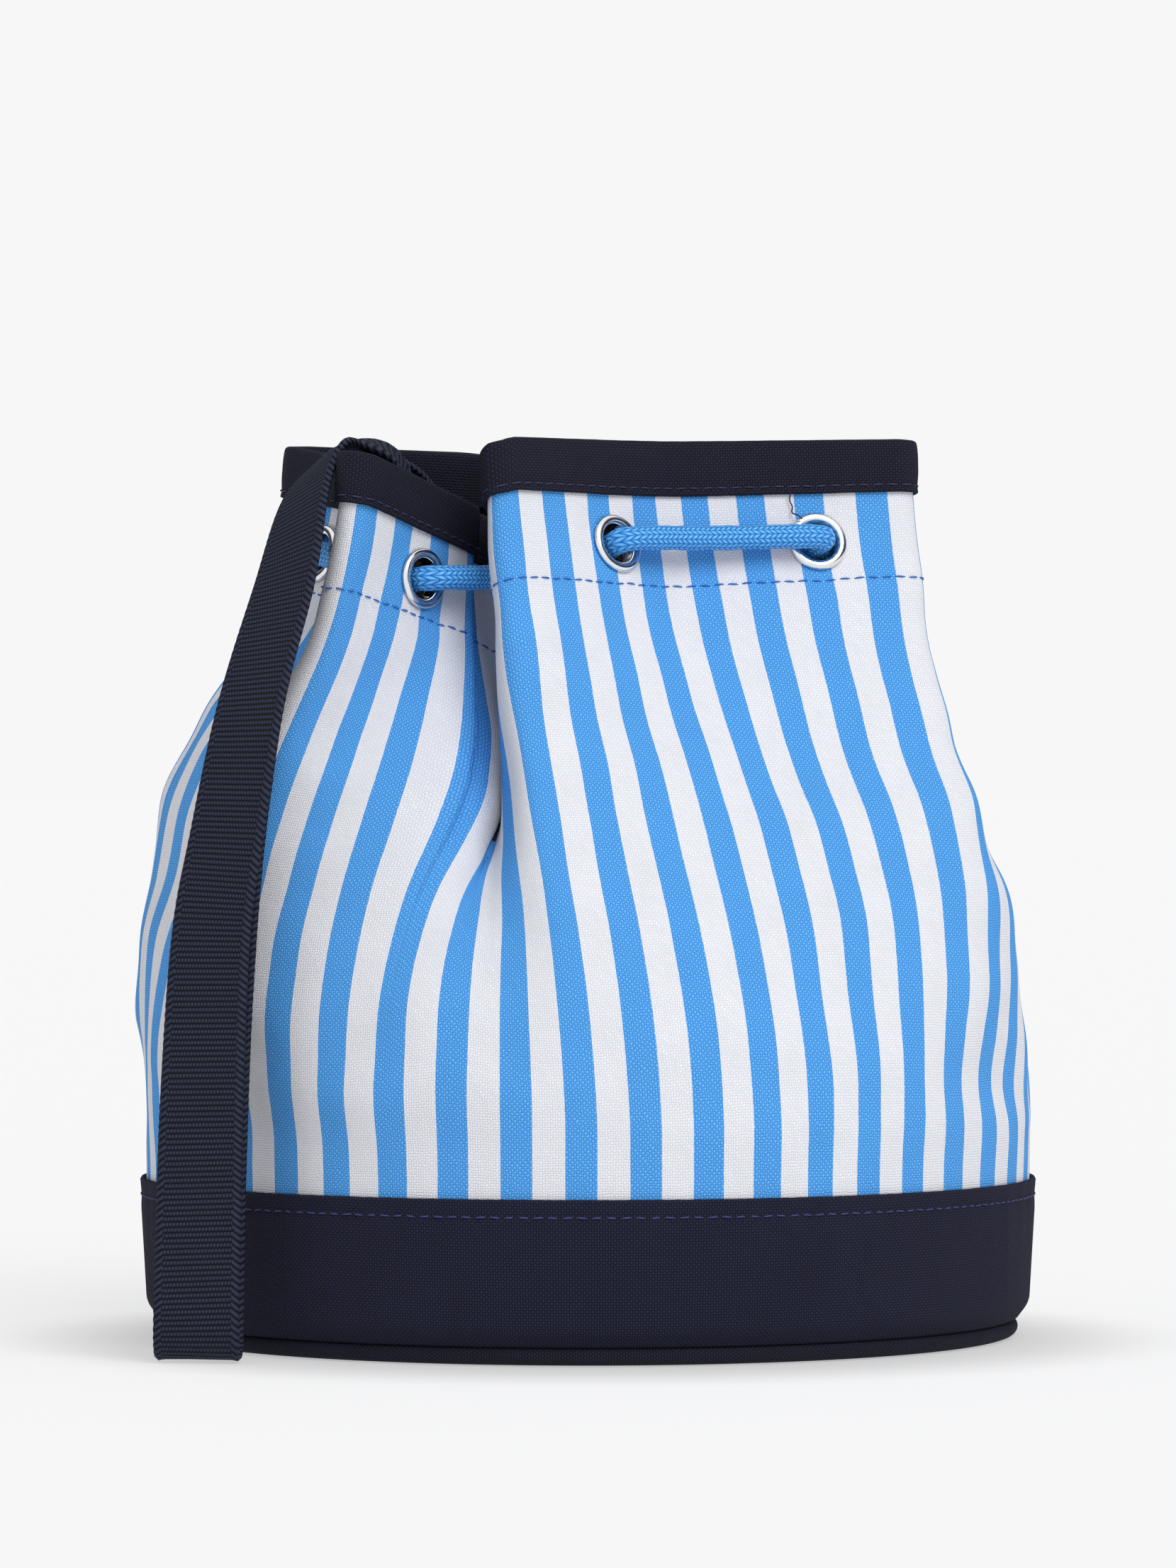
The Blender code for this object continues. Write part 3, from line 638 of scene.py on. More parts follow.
def studio_material():
    material, kit, shader = new_material("studio_floor", 0.9)
    place = kit.add("ShaderNodeTexCoord").outputs["Object"]
    parts = kit.add("ShaderNodeSeparateXYZ", {0: place})
    forward = kit.math("ADD", parts.outputs[1], 0.012)
    squares = kit.math("ADD", kit.math("POWER", parts.outputs[0], 2.0), kit.math("POWER", forward, 2.0))
    away = kit.math("SQRT", squares)
    # Painted contact shadow: the floor's base colour and its glow are darker in a ring round the bag's foot.
    clear = kit.ramp(away, 0.094, 0.150)
    kit.feed(shader.inputs["Base Color"], kit.mix(clear, (0.21, 0.21, 0.21, 1), (0.28, 0.28, 0.28, 1)))
    glow = kit.mix(clear, (0.46, 0.46, 0.465, 1), (0.631, 0.631, 0.631, 1))
    kit.feed(shader.inputs["Emission Color"], glow)
    shader.inputs["Emission Strength"].default_value = 1.0
    return material


# ---------------------------------------------------------------- the bag's cloth

def hole_mask(points, radius):
    """Which quads of a grid of cloth are kept: those clear of every eyelet's hole."""
    middles = (points[:-1, :-1] + points[1:, :-1] + points[:-1, 1:] + points[1:, 1:]) / 4
    keep = np.ones(middles.shape[:2], bool)
    for place, outward in EYELET_PLACES:
        away = middles - place
        rise = away @ outward
        across = np.linalg.norm(away - rise[..., None] * outward, axis=2)
        keep &= ~((across < radius) & (np.abs(rise) < 0.006))
    return keep


def stripe_drift(stripes, heights):
    """How far the stripes lie off their even places, in stripes: cloth is never cut quite straight."""
    waist = np.exp(-(((heights - 0.075) / 0.035) ** 2))
    return 0.30 * near(stripes, 11.0, 2.6)[:, None] * (1 - 0.65 * waist)[None, :]


def add_wall_cloth(name, first, last, top, offset, thickness, a_stripe, row_step):
    columns = round((last - first) * a_stripe) + 1
    stripes = np.linspace(first, last, columns)
    heights = np.linspace(FOOT, top, round((top - FOOT) / row_step))
    points = cloth_at(stripes[:, None], heights[None, :], offset)
    piece = grid_object(name, points, stripes, heights / PITCH, keep=hole_mask(points, 0.0058))
    drift = piece.data.attributes.new("stripe_drift", "FLOAT", "POINT")
    drift.data.foreach_set("value", stripe_drift(stripes, heights).ravel())
    drop_loose(piece)
    thicken(piece, thickness)
    return piece


def keep_inside(piece, depth):
    """Moves every point of a piece to at least the stated depth under the canvas's outer face."""
    stripes = np.arange(0, STRIPE_PAIRS, 1 / 14)
    heights = np.linspace(FOOT - 0.004, CLOTH_HEIGHT + 0.0015, 130)
    points = cloth_at(stripes[:, None], heights[None, :], 0.0)
    columns, rows = points.shape[:2]
    i, j = (index.ravel() for index in np.meshgrid(np.arange(columns), np.arange(rows - 1), indexing="ij"))
    right = (i + 1) % columns
    faces = np.stack([i * rows + j, right * rows + j, right * rows + j + 1, i * rows + j + 1], axis=1)
    canvas = BVHTree.FromPolygons(points.reshape(-1, 3).tolist(), faces.tolist())
    for corner in piece.data.vertices:
        spot, facing, _, _ = canvas.find_nearest(corner.co)
        if (corner.co - spot).dot(facing) > -depth:
            corner.co = spot - facing * depth


def add_lining(material):
    """The lining's tube inside the canvas, finer where the cloth folds tightly at the front."""
    first, last = SEAMS[0], SEAMS[0] + STRIPE_PAIRS
    stripes = np.linspace(first, last, round(STRIPE_PAIRS * 7) + 1)
    stripes = np.unique(np.round(np.concatenate([stripes, np.linspace(1.6, 4.6, 61)]), 3))
    heights = np.linspace(FOOT, CLOTH_HEIGHT - 0.0012, 110)
    inward = CANVAS + LAYER_GAP + 0.0006 * near(stripes, 3.0, 1.2)[:, None]
    points = cloth_at(stripes[:, None], heights[None, :], -inward)
    keep = hole_mask(points, 0.0062)
    points = points[:-1]
    piece = grid_object("bag_lining", points, stripes * PITCH, heights, wrap_across=True, keep=keep)
    drop_loose(piece)
    thicken(piece, LINING)
    keep_inside(piece, CANVAS + 0.0002)
    finish_piece(piece, material, replaces=["lining_wall"])
    return piece


def swept_round(name, outline, across_scale, a_stripe, puff=None):
    """A closed outline of (offset, height) carried right round the cloth."""
    stripes = np.arange(0, STRIPE_PAIRS, 1 / a_stripe)
    offsets = np.array([offset for offset, _ in outline])
    heights = np.array([height for _, height in outline])
    grown = offsets[None, :] + (puff(stripes[:, None], heights[None, :]) if puff else 0)
    points = cloth_at(stripes[:, None], heights[None, :], grown)
    run = np.concatenate([[0], np.cumsum(np.hypot(np.diff(offsets, append=offsets[0]),
                                                  np.diff(heights, append=heights[0])))])
    around = np.append(stripes, STRIPE_PAIRS) * across_scale
    return grid_object(name, points, around, run, wrap_across=True, wrap_along=True)


def rounded(corners, radius, steps=4):
    """An outline with each corner made an arc; the corners are (offset, height, share of the radius)."""
    points = [Vector(corner[:2]) for corner in corners]
    outline = []
    for k, (corner, own) in enumerate(zip(points, corners)):
        back = points[k - 1] - corner
        onward = points[(k + 1) % len(points)] - corner
        reach = min(radius * own[2], back.length * 0.48, onward.length * 0.48)
        start, end = corner + back.normalized() * reach, corner + onward.normalized() * reach
        for step in range(steps + 1):
            t = step / steps
            spot = (1 - t) ** 2 * start + 2 * t * (1 - t) * corner + t * t * end
            outline.append((spot.x, spot.y))
    return outline


def add_binding(material):
    """Folded canvas tape over the cloth's raw edge, drawn down a little along its stitching."""
    high = CLOTH_HEIGHT
    low = high - BINDING_HEIGHT
    stitch = low + 0.0017
    inside = -CLOTH - 0.0004
    corners = ((0.0003, low, 0.3), (0.0013, low, 1), (0.0011, stitch, 0.6), (0.0015, stitch + 0.003, 1),
               (0.0016, high - 0.002, 1), (0.0013, high + 0.0012, 1), (inside - 0.0008, high + 0.0012, 1),
               (inside - 0.0011, high - 0.002, 1), (inside - 0.0010, low, 1), (inside, low, 0.3),
               (inside, high, 0.2), (0.0003, high, 0.2))

    def puff(stripes, heights):
        wave = np.sin(stripes * 2 * math.pi * 1.7) * np.sin(stripes * 2 * math.pi * 0.8 + 1.0)
        return 0.00012 * wave * np.where(heights > stitch, 1.0, 0.4)

    piece = swept_round("rim_tape", rounded(corners, 0.0012), PITCH, 14, puff)
    finish_piece(piece, material, replaces=["rim_binding"])
    return stitch


def add_band(material):
    """The canvas band round the base, turned in at its top edge and tucked into the welt below."""
    low = 0.0041 - BAND_TOP
    corners = ((0.0003, 0.0, 0.3), (0.0015, 0.0, 1), (0.0013, -0.0040, 0.6), (0.0016, -0.0070, 1),
               (0.0016, low + 0.0042, 1.4), (-0.0012, low, 1), (-0.0030, low, 0.6),
               (0.0002, low + 0.0040, 0.6))

    def puff(stripes, heights):
        wave = np.sin(stripes * 2 * math.pi * 1.35) + 0.6 * np.sin(stripes * 2 * math.pi * 0.53 + 0.7)
        return 0.00010 * wave * np.exp(-((heights + 0.004) / 0.006) ** 2)

    piece = swept_round("base_band_cloth", rounded(corners, 0.0012), PITCH, 14, puff)
    finish_piece(piece, material, replaces=["base_band"])


def add_stitches(name, heights_of, offset, material, length=0.0029, gap=0.0005, radius=0.00021, wander=0.0):
    """A line of machine stitches: short rods of thread that rise from one hole and sink at the next."""
    count = round(STRIPE_PAIRS * PITCH / (length + gap))
    step = STRIPE_PAIRS / count
    share = length / (length + gap)
    bend = np.linspace(-0.5, 0.5, 5)
    lift = np.array([-1.3, 0.55, 0.9, 0.55, -1.3]) * radius
    thin = np.array([0.45, 0.9, 1.0, 0.9, 0.45])
    sides = 6
    points, faces = [], []
    for number in range(count):
        stripes = (number + 0.5) * step + bend * step * share
        drift = wander * noise.noise(Vector((number * 0.7, 2.0, 5.0)))
        tilt = 0.00010 * (1 if number % 2 else -1) * bend * 2
        heights = heights_of(stripes) + drift + tilt
        spine = cloth_at(stripes, heights, offset + lift)
        upward = cloth_at(stripes, heights + 0.0006, offset + lift) - spine
        upward /= np.linalg.norm(upward, axis=1, keepdims=True)
        outward = sample(WALL_NORMALS, stripes, heights)
        start = len(points)
        for k in range(len(bend)):
            for side in range(sides):
                turn = 2 * math.pi * side / sides
                round_the_thread = math.cos(turn) * upward[k] + math.sin(turn) * outward[k]
                points.append(spine[k] + radius * thin[k] * round_the_thread)
        for k in range(len(bend) - 1):
            for side in range(sides):
                a = start + k * sides + side
                b = start + k * sides + (side + 1) % sides
                faces.append((a, a + sides, b + sides, b))
        faces.append(tuple(start + side for side in range(sides)))
        faces.append(tuple(start + (len(bend) - 1) * sides + side for side in reversed(range(sides))))
    mesh = bpy.data.meshes.new(name)
    mesh.from_pydata([tuple(point) for point in points], [], faces)
    mesh.update()
    mesh.shade_smooth()
    piece = bpy.data.objects.new(name, mesh)
    bpy.context.scene.collection.objects.link(piece)
    return finish_piece(piece, material)


def apply_place(piece):
    """Puts the object's place into its mesh, so that the object sits at the origin."""
    piece.data.transform(piece.matrix_world)
    piece.matrix_world = Matrix.Identity(4)


def turned_piece(name, outline, steps=56):
    """A ring turned from a closed outline of (radius, height), made with a circle and a spin."""
    deselect()
    bpy.ops.mesh.primitive_circle_add(vertices=len(outline), radius=0.001)
    piece = bpy.context.active_object
    piece.name = piece.data.name = name
    for corner, (radius, height) in zip(piece.data.vertices, outline):
        corner.co = (radius, 0, height)
    bpy.ops.object.mode_set(mode="EDIT")
    bpy.ops.mesh.select_all(action="SELECT")
    bpy.ops.mesh.spin(steps=steps, angle=2 * math.pi, center=(0, 0, 0), axis=(0, 0, 1))
    bpy.ops.mesh.select_all(action="SELECT")
    bpy.ops.mesh.remove_doubles(threshold=1e-6)
    bpy.ops.mesh.normals_make_consistent(inside=False)
    bpy.ops.object.mode_set(mode="OBJECT")
    piece.data.shade_smooth()
    return piece


def add_eyelets(metal):
    """Rolled eyelets, each with its washer clinched behind the cloth."""
    half = CLOTH / 2
    crown = half + 0.0004
    ring = []
    for k in range(9):
        turn = math.pi * k / 8
        middle = (EYELET_RADIUS + EYELET_HOLE + 0.0001) / 2
        reach = (EYELET_RADIUS - EYELET_HOLE + 0.0001) / 2
        ring.append((middle + reach * math.cos(turn), crown + 0.00115 * math.sin(turn)))
    barrel = [ (EYELET_HOLE, 0.0), (EYELET_HOLE, -half - 0.0004),
              (EYELET_HOLE + 0.0004, -half - 0.0012), (EYELET_HOLE + 0.0014, -half - 0.0014),
              (EYELET_HOLE + 0.0018, -half - 0.0010), (EYELET_HOLE + 0.0009, -half - 0.0006),
              (EYELET_HOLE + 0.0007, 0.0), (EYELET_HOLE + 0.0010, crown - 0.0005),
              (EYELET_RADIUS - 0.0006, crown - 0.0003)]
    washer = [(EYELET_HOLE + 0.0010, -half - 0.0003), (EYELET_RADIUS, -half - 0.0002),
              (EYELET_RADIUS + 0.0001, -half - 0.0005), (EYELET_RADIUS - 0.0006, -half - 0.0008),
              (EYELET_HOLE + 0.0012, -half - 0.0009)]
    ring_model = turned_piece("eyelet_model", ring + barrel)
    washer_model = turned_piece("washer_model", washer, steps=40)
    for number, (place, outward) in enumerate(EYELET_PLACES, 1):
        turn = Vector(outward).to_track_quat("Z", "Y").to_matrix().to_4x4()
        for model, name, node in ((ring_model, "eyelet_ring", "eyelet"),
                                  (washer_model, "eyelet_washer", "washer")):
            piece = bpy.data.objects.new(f"{name}_{number:02d}", model.data.copy())
            bpy.context.scene.collection.objects.link(piece)
            piece.matrix_world = Matrix.Translation(place) @ turn
            apply_place(piece)
            finish_piece(piece, metal, replaces=[f"{node}_{number:02d}"])
    for model in (ring_model, washer_model):
        bpy.data.objects.remove(model)


# ---------------------------------------------------------------- the cord

BRAID_ROWS = 16
BRAID_STEP = 0.00140


def braided_tube(name, route):
    """The round body of a braid, with a UV map of turns round it and metres along it."""
    run = np.concatenate([[0], np.cumsum(np.linalg.norm(np.diff(route, axis=0), axis=1))])
    first, second = carried_frames(route)
    sides = 28
    turns = np.arange(sides) / sides
    swell = 0.00005 * np.sin(run * 2 * math.pi / 0.0041) + 0.00006 * np.sin(run * 2 * math.pi / 0.0093 + 1.0)
    radius = CORD / 2 - 0.00008 + swell
    turn = (turns * 2 * math.pi)[:, None, None]
    points = route[None] + radius[None, :, None] * (np.cos(turn) * first[None] + np.sin(turn) * second[None])
    piece = grid_object(name, points, np.append(turns, 1.0), run, wrap_across=True)
    close_ends(piece, sides)
    return piece


def close_ends(piece, sides):
    """Fills the two open ends of a tube."""
    deselect()
    bpy.context.view_layer.objects.active = piece
    piece.select_set(True)
    bpy.ops.object.mode_set(mode="EDIT")
    bpy.ops.mesh.select_mode(type="EDGE")
    bpy.ops.mesh.select_all(action="DESELECT")
    bpy.ops.mesh.select_non_manifold(extend=False)
    bpy.ops.mesh.fill_holes(sides=sides + 2)
    bpy.ops.mesh.select_all(action="SELECT")
    bpy.ops.mesh.normals_make_consistent(inside=False)
    bpy.ops.object.mode_set(mode="OBJECT")


def drawstring_route():
    """The cord from the back, in and out of every eyelet, and back out beside where it began."""
    order = [*range(9, 14), *range(0, 9)]
    height = CLOTH_HEIGHT - EYELET_DROP
    route = []
    for count, number in enumerate(order):
        place, outward = EYELET_PLACES[number]
        leaving = count % 2 == 1
        steps = (-0.0057, 0.0, 0.0052) if leaving else (0.0052, 0.0, -0.0057)
        route += [place + outward * step for step in steps]
        if count + 1 == len(order):
            break
        here = EYELETS[number]
        there = EYELETS[order[count + 1]]
        there += STRIPE_PAIRS if there < here else 0
        side = 0.0058 if leaving else -0.0072
        across = np.linalg.norm(sample(WALL, there, height) - sample(WALL, here, height))
        if across > 0.7 * (there - here) * PITCH:
            route.append(cloth_at((here + there) / 2, height, side))
    return eased(smooth_route(route, 0.0010), 12)


TAILS = {
    "left": ((-0.0048, 0.0660, 0.1842), (-0.0072, 0.0760, 0.1700), (-0.0098, 0.0845, 0.1480),
             (-0.0118, 0.0905, 0.1250), (-0.0128, 0.0950, 0.1080)),
    "right": ((0.0030, 0.0660, 0.1842), (0.0056, 0.0765, 0.1700), (0.0084, 0.0855, 0.1480),
              (0.0104, 0.0930, 0.1250), (0.0114, 0.0995, 0.1080)),
}


def add_cords(material):
    route = drawstring_route()
    run = braided_tube("drawstring_cord", route)
    finish_piece(run, material, replaces=["drawstring"])
    for side, places in TAILS.items():
        route = smooth_route(places, 0.0008)
        tail = braided_tube(f"cord_tail_{side}", route)
        finish_piece(tail, material, body=f"tail_{side}", replaces=[f"drawstring_tail_{side}"])
        knot = add_knot(f"cord_knot_{side}", route, material, side)


def add_knot(name, route, material, side):
    """An overhand knot: the cord takes three turns through itself and its trimmed end points down."""
    down = Vector(route[-1] - route[-6]).normalized()
    turn = down.to_track_quat("-Z", "Y").to_matrix().to_4x4()
    middle = Vector(route[-1]) + down * 0.0052
    loop = []
    for k in range(97):
        angle = 2 * math.pi * k / 96
        swing = 0.00215 + 0.00100 * math.cos(3 * angle)
        loop.append(Vector((swing * math.cos(2 * angle) * 1.15, swing * math.sin(2 * angle) * 1.15,
                            0.0030 * math.sin(3 * angle))))
    loop = np.array([middle + turn @ spot for spot in loop])
    piece = braided_tube(name, loop)
    return finish_piece(piece, material, body=f"tail_{side}", replaces=[f"tail_knot_{side}"])


# ---------------------------------------------------------------- the strap

STRAP_STATIONS = (
    ((-0.0430, -0.0420, 0.1930), 104), ((-0.0434, -0.0430, 0.2005), 104), ((-0.0462, -0.0462, 0.2072), 102),
    ((-0.0525, -0.0515, 0.2103), 95), ((-0.0592, -0.0545, 0.2094), 88),
    ((-0.0655, -0.0620, 0.1995), 62), ((-0.0700, -0.0740, 0.1780), 45),
    ((-0.0770, -0.0850, 0.1510), 38), ((-0.0825, -0.0900, 0.1200), 30), ((-0.0860, -0.0920, 0.0970), 24),
    ((-0.0880, -0.0930, 0.0600), 16), ((-0.0888, -0.0935, 0.0300), 11), ((-0.0892, -0.0940, 0.0090), 9),
    ((-0.0892, -0.0920, 0.0024), 9), ((-0.0890, -0.0880, 0.0010), 9), ((-0.0888, -0.0845, 0.0030), 9),
    ((-0.0886, -0.0835, 0.0120), 10), ((-0.0880, -0.0835, 0.0400), 13), ((-0.0862, -0.0830, 0.0800), 20),
    ((-0.0830, -0.0800, 0.1150), 30), ((-0.0780, -0.0730, 0.1480), 40), ((-0.0715, -0.0600, 0.1800), 58),
    ((-0.0650, -0.0400, 0.2000), 80), ((-0.0588, -0.0288, 0.2086), 88),
    ((-0.0500, -0.0255, 0.2094), 90), ((-0.0400, -0.0190, 0.2050), 90),
    ((-0.0270, -0.0090, 0.1900), 86), ((-0.0100, -0.0030, 0.1740), 82), ((0.0150, -0.0040, 0.1620), 82),
    ((0.0400, -0.0080, 0.1550), 85), ((0.0600, -0.0100, 0.1500), 86),
)


def add_strap(material):
    """One length of webbing: in at the mouth, over the rim, down to the floor, and back the same way."""
    places = np.array([place for place, _ in STRAP_STATIONS])
    angles = np.radians([angle for _, angle in STRAP_STATIONS])
    coarse = np.concatenate([places, np.cos(angles)[:, None], -np.sin(angles)[:, None]], axis=1)
    knots = np.concatenate([[2 * coarse[0] - coarse[1]], coarse, [2 * coarse[-1] - coarse[-2]]])
    fine = []
    for a, b, c, d in zip(knots, knots[1:], knots[2:], knots[3:]):
        for part in range(16):
            t = part / 16
            fine.append(0.5 * (2 * b + (c - a) * t + (2 * a - 5 * b + 4 * c - d) * t * t
                               + (3 * b - a - 3 * c + d) * t * t * t))
    fine = np.array([*fine, knots[-2]])
    run = np.concatenate([[0], np.cumsum(np.linalg.norm(np.diff(fine[:, :3], axis=0), axis=1))])
    wanted = np.linspace(0, run[-1], round(run[-1] / 0.0011) + 1)
    path = np.stack([np.interp(wanted, run, fine[:, axis]) for axis in range(5)], axis=1)
    route = eased(path[:, :3], 6)
    across = np.concatenate([path[:, 3:], np.zeros((len(path), 1))], axis=1)
    ahead = np.gradient(route, axis=0)
    ahead /= np.linalg.norm(ahead, axis=1, keepdims=True)
    across -= ahead * (across * ahead).sum(axis=1, keepdims=True)
    across /= np.linalg.norm(across, axis=1, keepdims=True)
    face = np.cross(ahead, across)
    widths = np.linspace(-1, 1, 25)
    from_middle = np.abs(widths)
    chain = 0.18 * np.exp(-((from_middle - 0.91) / 0.07) ** 2)
    bulge = 0.5 + chain - 0.42 * smooth_step((from_middle - 0.94) / 0.06)
    scallop = 0.00008 * np.sin(wanted * 2 * math.pi / 0.0021)
    outline = [(width, height) for width, height in zip(widths, bulge)]
    outline += [(width, -height) for width, height in zip(widths[::-1], bulge[::-1])]
    points = np.empty((len(outline), len(route), 3))
    for k, (width, height) in enumerate(outline):
        half = STRAP_WIDTH / 2 + scallop * (abs(width) > 0.9)
        points[k] = route + across * (width * half)[:, None] + face * height * STRAP_THICKNESS
    spread = np.array([width * STRAP_WIDTH / 2 for width, _ in outline])
    spread = np.append(spread, spread[0])
    piece = grid_object("webbing_strap", points, spread, wanted, wrap_across=True)
    close_ends(piece, len(outline))
    piece.data.materials.append(material)
    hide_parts("strap_loop", "strap_end_left", "strap_end_right")
    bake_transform(piece)


# ---------------------------------------------------------------- the base

def add_welt(material):
    """The corded edge between the band and the sole."""
    outline = []
    for k in range(18):
        turn = 2 * math.pi * k / 18
        height = WELT / 2 * 0.90 * (1 + math.sin(turn)) + 0.0001
        outline.append((WELT_RADIUS + WELT / 2 * math.cos(turn), height))
    piece = turned_piece("welt_cord", outline, steps=240)
    layer = piece.data.uv_layers.new(name="cloth")
    for loop in piece.data.loops:
        spot = piece.data.vertices[loop.vertex_index].co
        angle = math.atan2(spot.y, spot.x)
        layer.data[loop.index].uv = (angle * WELT_RADIUS, spot.z * 1.4)
    finish_piece(piece, material, replaces=["base_welt"])


def add_floors(sole, lining):
    """The sole's canvas under the bag, and the lining's floor with its edge turned up inside the wall."""
    edge = SOLE_RADIUS
    under = ((0, 0.0003), (0.060, 0.0003), (edge - 0.0040, 0.0001), (edge - 0.0005, 0.0003), (edge, 0.0009),
             (edge - 0.0005, 0.0015), (edge - 0.0040, 0.0016), (0, 0.0016))
    inside = ((0, 0.0059), (0.0990, 0.0059), (0.1013, 0.0070), (0.1021, 0.0108), (0.1019, 0.0118),
              (0.1014, 0.0112), (0.1007, 0.0077), (0.0985, 0.0066), (0, 0.0065))
    finish_piece(turned_piece("sole_cloth", under, steps=180), sole, replaces=["sole_panel"])
    finish_piece(turned_piece("lining_floor_cloth", inside, steps=180), lining,
                 replaces=["lining_floor"])


def dress_nodes(materials):
    """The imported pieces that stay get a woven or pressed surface."""
    for node, material in materials.items():
        piece = bpy.data.objects[node]
        for slot in piece.material_slots:
            slot.material = material
        if not piece.material_slots:
            piece.data.materials.append(material)


def flat_canvas(name, weave, dark, light):
    """Canvas on a flat round piece, woven along X and Y."""
    material, kit, shader = new_material(name, 0.9)
    place = kit.add("ShaderNodeTexCoord").outputs["Object"]
    woven = use_group(kit, weave, {"Cloth": place, "Threads": 1 / 0.00062, "Unevenness": 0.0004})
    fibre = kit.noise(place, 2600.0, 3.0, 0.7)
    kit.feed(shader.inputs["Base Color"], kit.mix(woven.outputs["Over"], (*dark, 1), (*light, 1)))
    relief = kit.math("ADD", woven.outputs["Height"], kit.math("MULTIPLY", fibre, 0.5))
    set_bump(kit, shader, relief, 0.8, 0.0002)
    return material


def add_loose_thread(material):
    """A clipped end of the binding's thread that curls down beside the right-hand eyelet."""
    spots = ((10.40, 0.0112, 0.0013), (10.37, 0.0130, 0.0012), (10.41, 0.0145, 0.0009),
             (10.39, 0.0160, 0.0012), (10.46, 0.0170, 0.0022), (10.52, 0.0180, 0.0024))
    places = [cloth_at(stripe, CLOTH_HEIGHT - drop, lift) for stripe, drop, lift in spots]
    route = smooth_route(places, 0.0003)
    first, second = carried_frames(route)
    turns = np.arange(6) / 6
    thin = 0.00017
    points = np.stack([route + thin * (math.cos(2 * math.pi * t) * first + math.sin(2 * math.pi * t) * second)
                       for t in turns])
    run = np.arange(len(route)) * 0.0003
    piece = grid_object("loose_thread", points, np.append(turns, 1.0), run, wrap_across=True)
    close_ends(piece, 6)
    finish_piece(piece, material)


# ---------------------------------------------------------------- the studio

def add_studio(material):
    """A wide pale floor, soft light from the right and front, and the camera."""
    deselect()
    bpy.ops.mesh.primitive_plane_add(size=120.0)
    floor = bpy.context.active_object
    floor.data.transform(Matrix.Translation((0, 0, -0.0002)))
    floor.name = "studio_floor"
    floor.data.materials.append(material)

    world = bpy.data.worlds.new("studio")
    world.use_nodes = True
    kit = Shader(world.node_tree)
    seen = world.node_tree.nodes["Background"]
    seen.inputs["Color"].default_value = (0.93, 0.93, 0.93, 1)
    lit = kit.add("ShaderNodeBackground", {"Color": (0.62, 0.62, 0.63, 1)})
    rays = kit.add("ShaderNodeLightPath").outputs
    toward = kit.add("ShaderNodeSeparateXYZ", {0: kit.add("ShaderNodeTexCoord").outputs["Generated"]})
    ahead = kit.ramp(kit.math("MULTIPLY", toward.outputs[1], -1.0), 0.45, 0.80)
    above = kit.ramp(toward.outputs[2], 0.45, 0.75)
    boxes = kit.mix(kit.math("MAXIMUM", ahead, above), (0.05, 0.055, 0.075, 1), (1.0, 1.0, 1.0, 1))
    gloss = kit.add("ShaderNodeBackground", {"Color": boxes})
    mixed = kit.add("ShaderNodeMixShader", {0: rays["Is Glossy Ray"], 1: lit.outputs[0], 2: gloss.outputs[0]})
    mixed = kit.add("ShaderNodeMixShader", {0: rays["Is Camera Ray"], 1: mixed.outputs[0],
                                            2: seen.outputs[0]})
    kit.feed(world.node_tree.nodes["World Output"].inputs[0], mixed.outputs[0])
    bpy.context.scene.world = world

    sun = bpy.data.lights.new("soft_key", "SUN")
    sun.energy = 1.86
    sun.angle = math.radians(38)
    made = bpy.data.objects.new("soft_key", sun)
    made.rotation_euler = Vector((-0.36, 0.70, -0.72)).to_track_quat("-Z", "Y").to_euler()
    bpy.context.scene.collection.objects.link(made)

    camera = bpy.data.cameras.new("camera")
    camera.sensor_width = 36.0
    camera.lens = 167.6
    made = bpy.data.objects.new("camera", camera)
    made.location = (0, -1.756, 0.132)
    made.rotation_euler = (math.pi / 2, 0, 0)
    bpy.context.scene.collection.objects.link(made)
    bpy.context.scene.camera = made
    bpy.context.scene.view_settings.view_transform = "Standard"


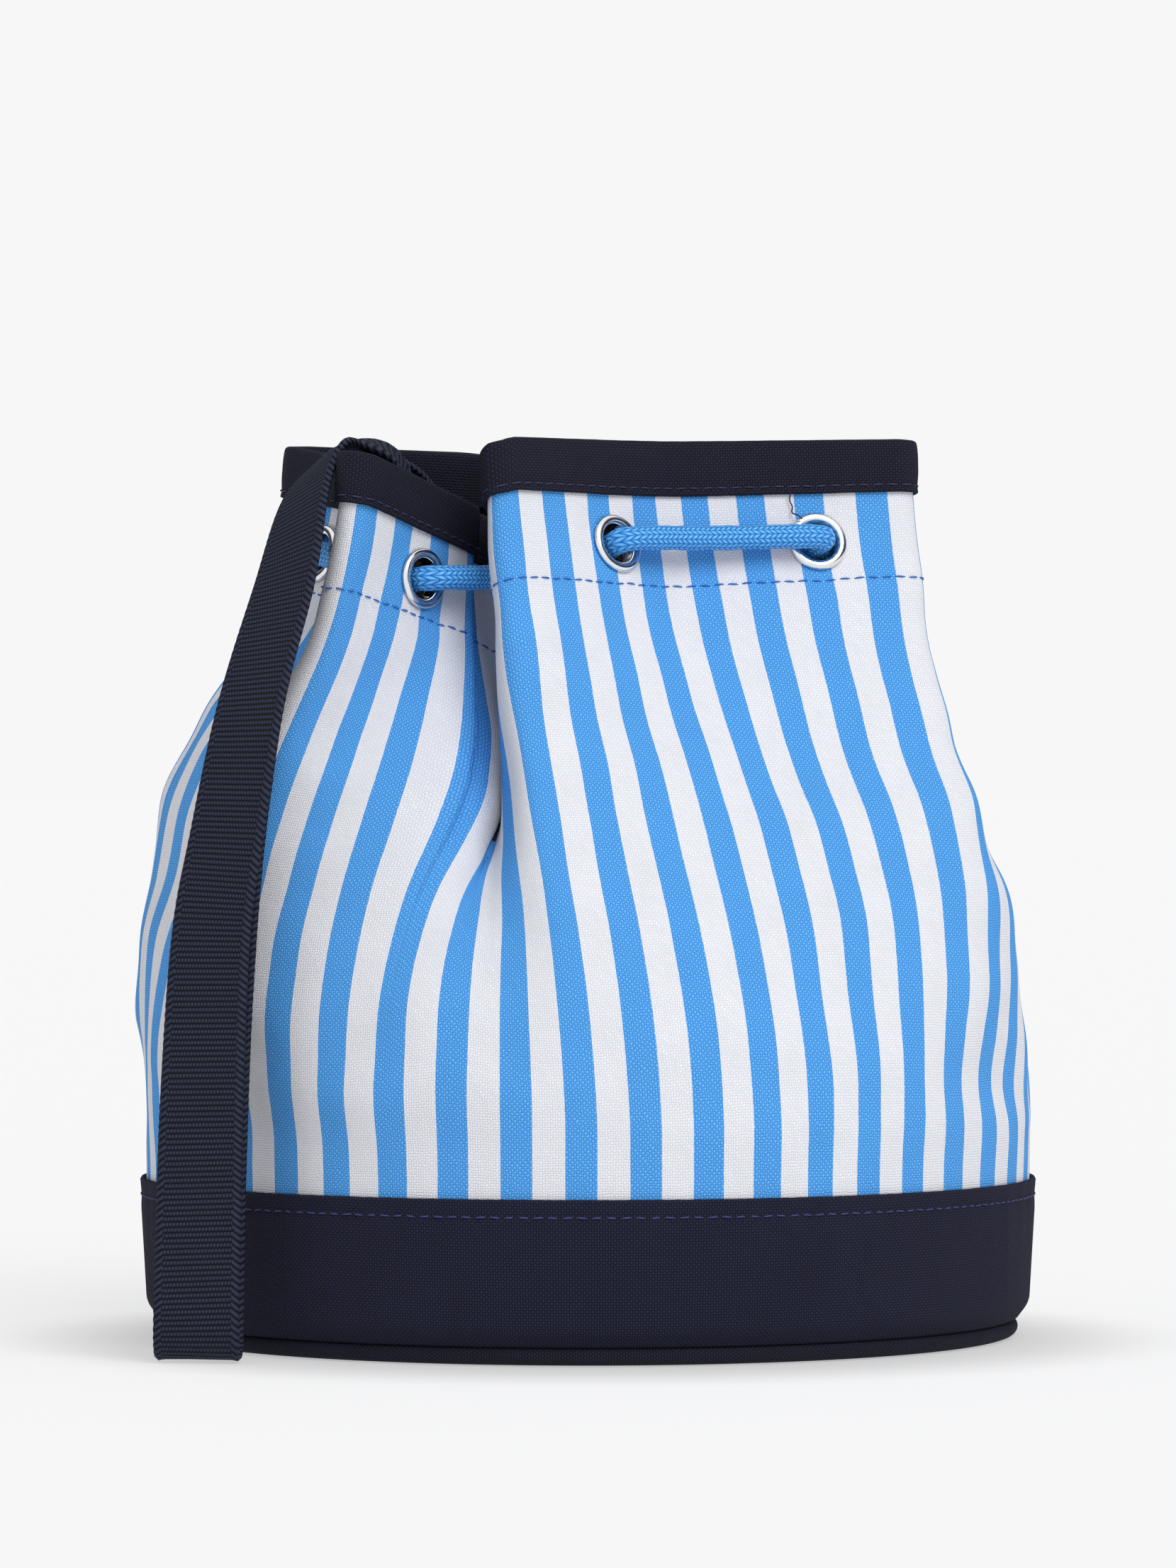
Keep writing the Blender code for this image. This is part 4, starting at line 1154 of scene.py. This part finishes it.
def main():
    weave = weave_group()
    striped = striped_canvas(weave)
    navy = plain_canvas("navy_canvas", weave, (0.0040, 0.0044, 0.015), (0.0230, 0.0245, 0.056), fleck=0.30)
    rim_navy = plain_canvas("rim_canvas", weave, (0.0028, 0.0030, 0.009), (0.0230, 0.0240, 0.046), fleck=0.35)
    lining = plain_canvas("dark_lining", weave, (0.012, 0.013, 0.018), (0.022, 0.023, 0.031),
                          threads=1 / 0.0006)
    webbing = webbing_material()
    cord = cord_material()
    metal = metal_material()
    casing_thread = thread_material("casing_thread", (0.012, 0.090, 0.38), (0.040, 0.20, 0.58))
    band_thread = thread_material("band_thread", (0.030, 0.032, 0.11), (0.065, 0.070, 0.20))
    rim_thread = thread_material("rim_thread", (0.022, 0.022, 0.055), (0.050, 0.048, 0.11))
    dark_thread = thread_material("dark_thread", (0.010, 0.008, 0.03), (0.03, 0.02, 0.07))

    add_studio(studio_material())
    add_cords(cord)
    left, right = SEAMS
    top = CLOTH_HEIGHT - 0.0004
    for name, first, last, node in (("striped_front", left, right, "front_panel"),
                                    ("striped_back", right, left + STRIPE_PAIRS, "back_panel")):
        panel = add_wall_cloth(name, first, last, top, 0.0, CANVAS, COLUMNS_A_STRIPE, 0.0017)
        finish_piece(panel, striped, replaces=[node])
    add_lining(lining)
    stitch = add_binding(rim_navy)
    add_band(navy)
    add_welt(rim_navy)
    add_stitches("rim_stitching", lambda stripes: np.full(len(stripes), stitch), 0.0012, rim_thread)
    add_stitches("casing_stitching", lambda stripes: np.full(len(stripes), CLOTH_HEIGHT - CASING_DROP),
                 0.0001, casing_thread, wander=0.0003)
    add_stitches("band_stitching", lambda stripes: np.full(len(stripes), -0.0040), 0.0013, band_thread,
                 length=0.0028)
    add_eyelets(metal)
    add_strap(webbing)
    add_loose_thread(dark_thread)
    sole = flat_canvas("sole_canvas", weave, (0.006, 0.007, 0.015), (0.018, 0.021, 0.043))
    floor_cloth = flat_canvas("floor_lining", weave, (0.012, 0.013, 0.018), (0.022, 0.023, 0.031))
    add_floors(sole, floor_cloth)
    dress_nodes({"base_board": board_material()})


main()
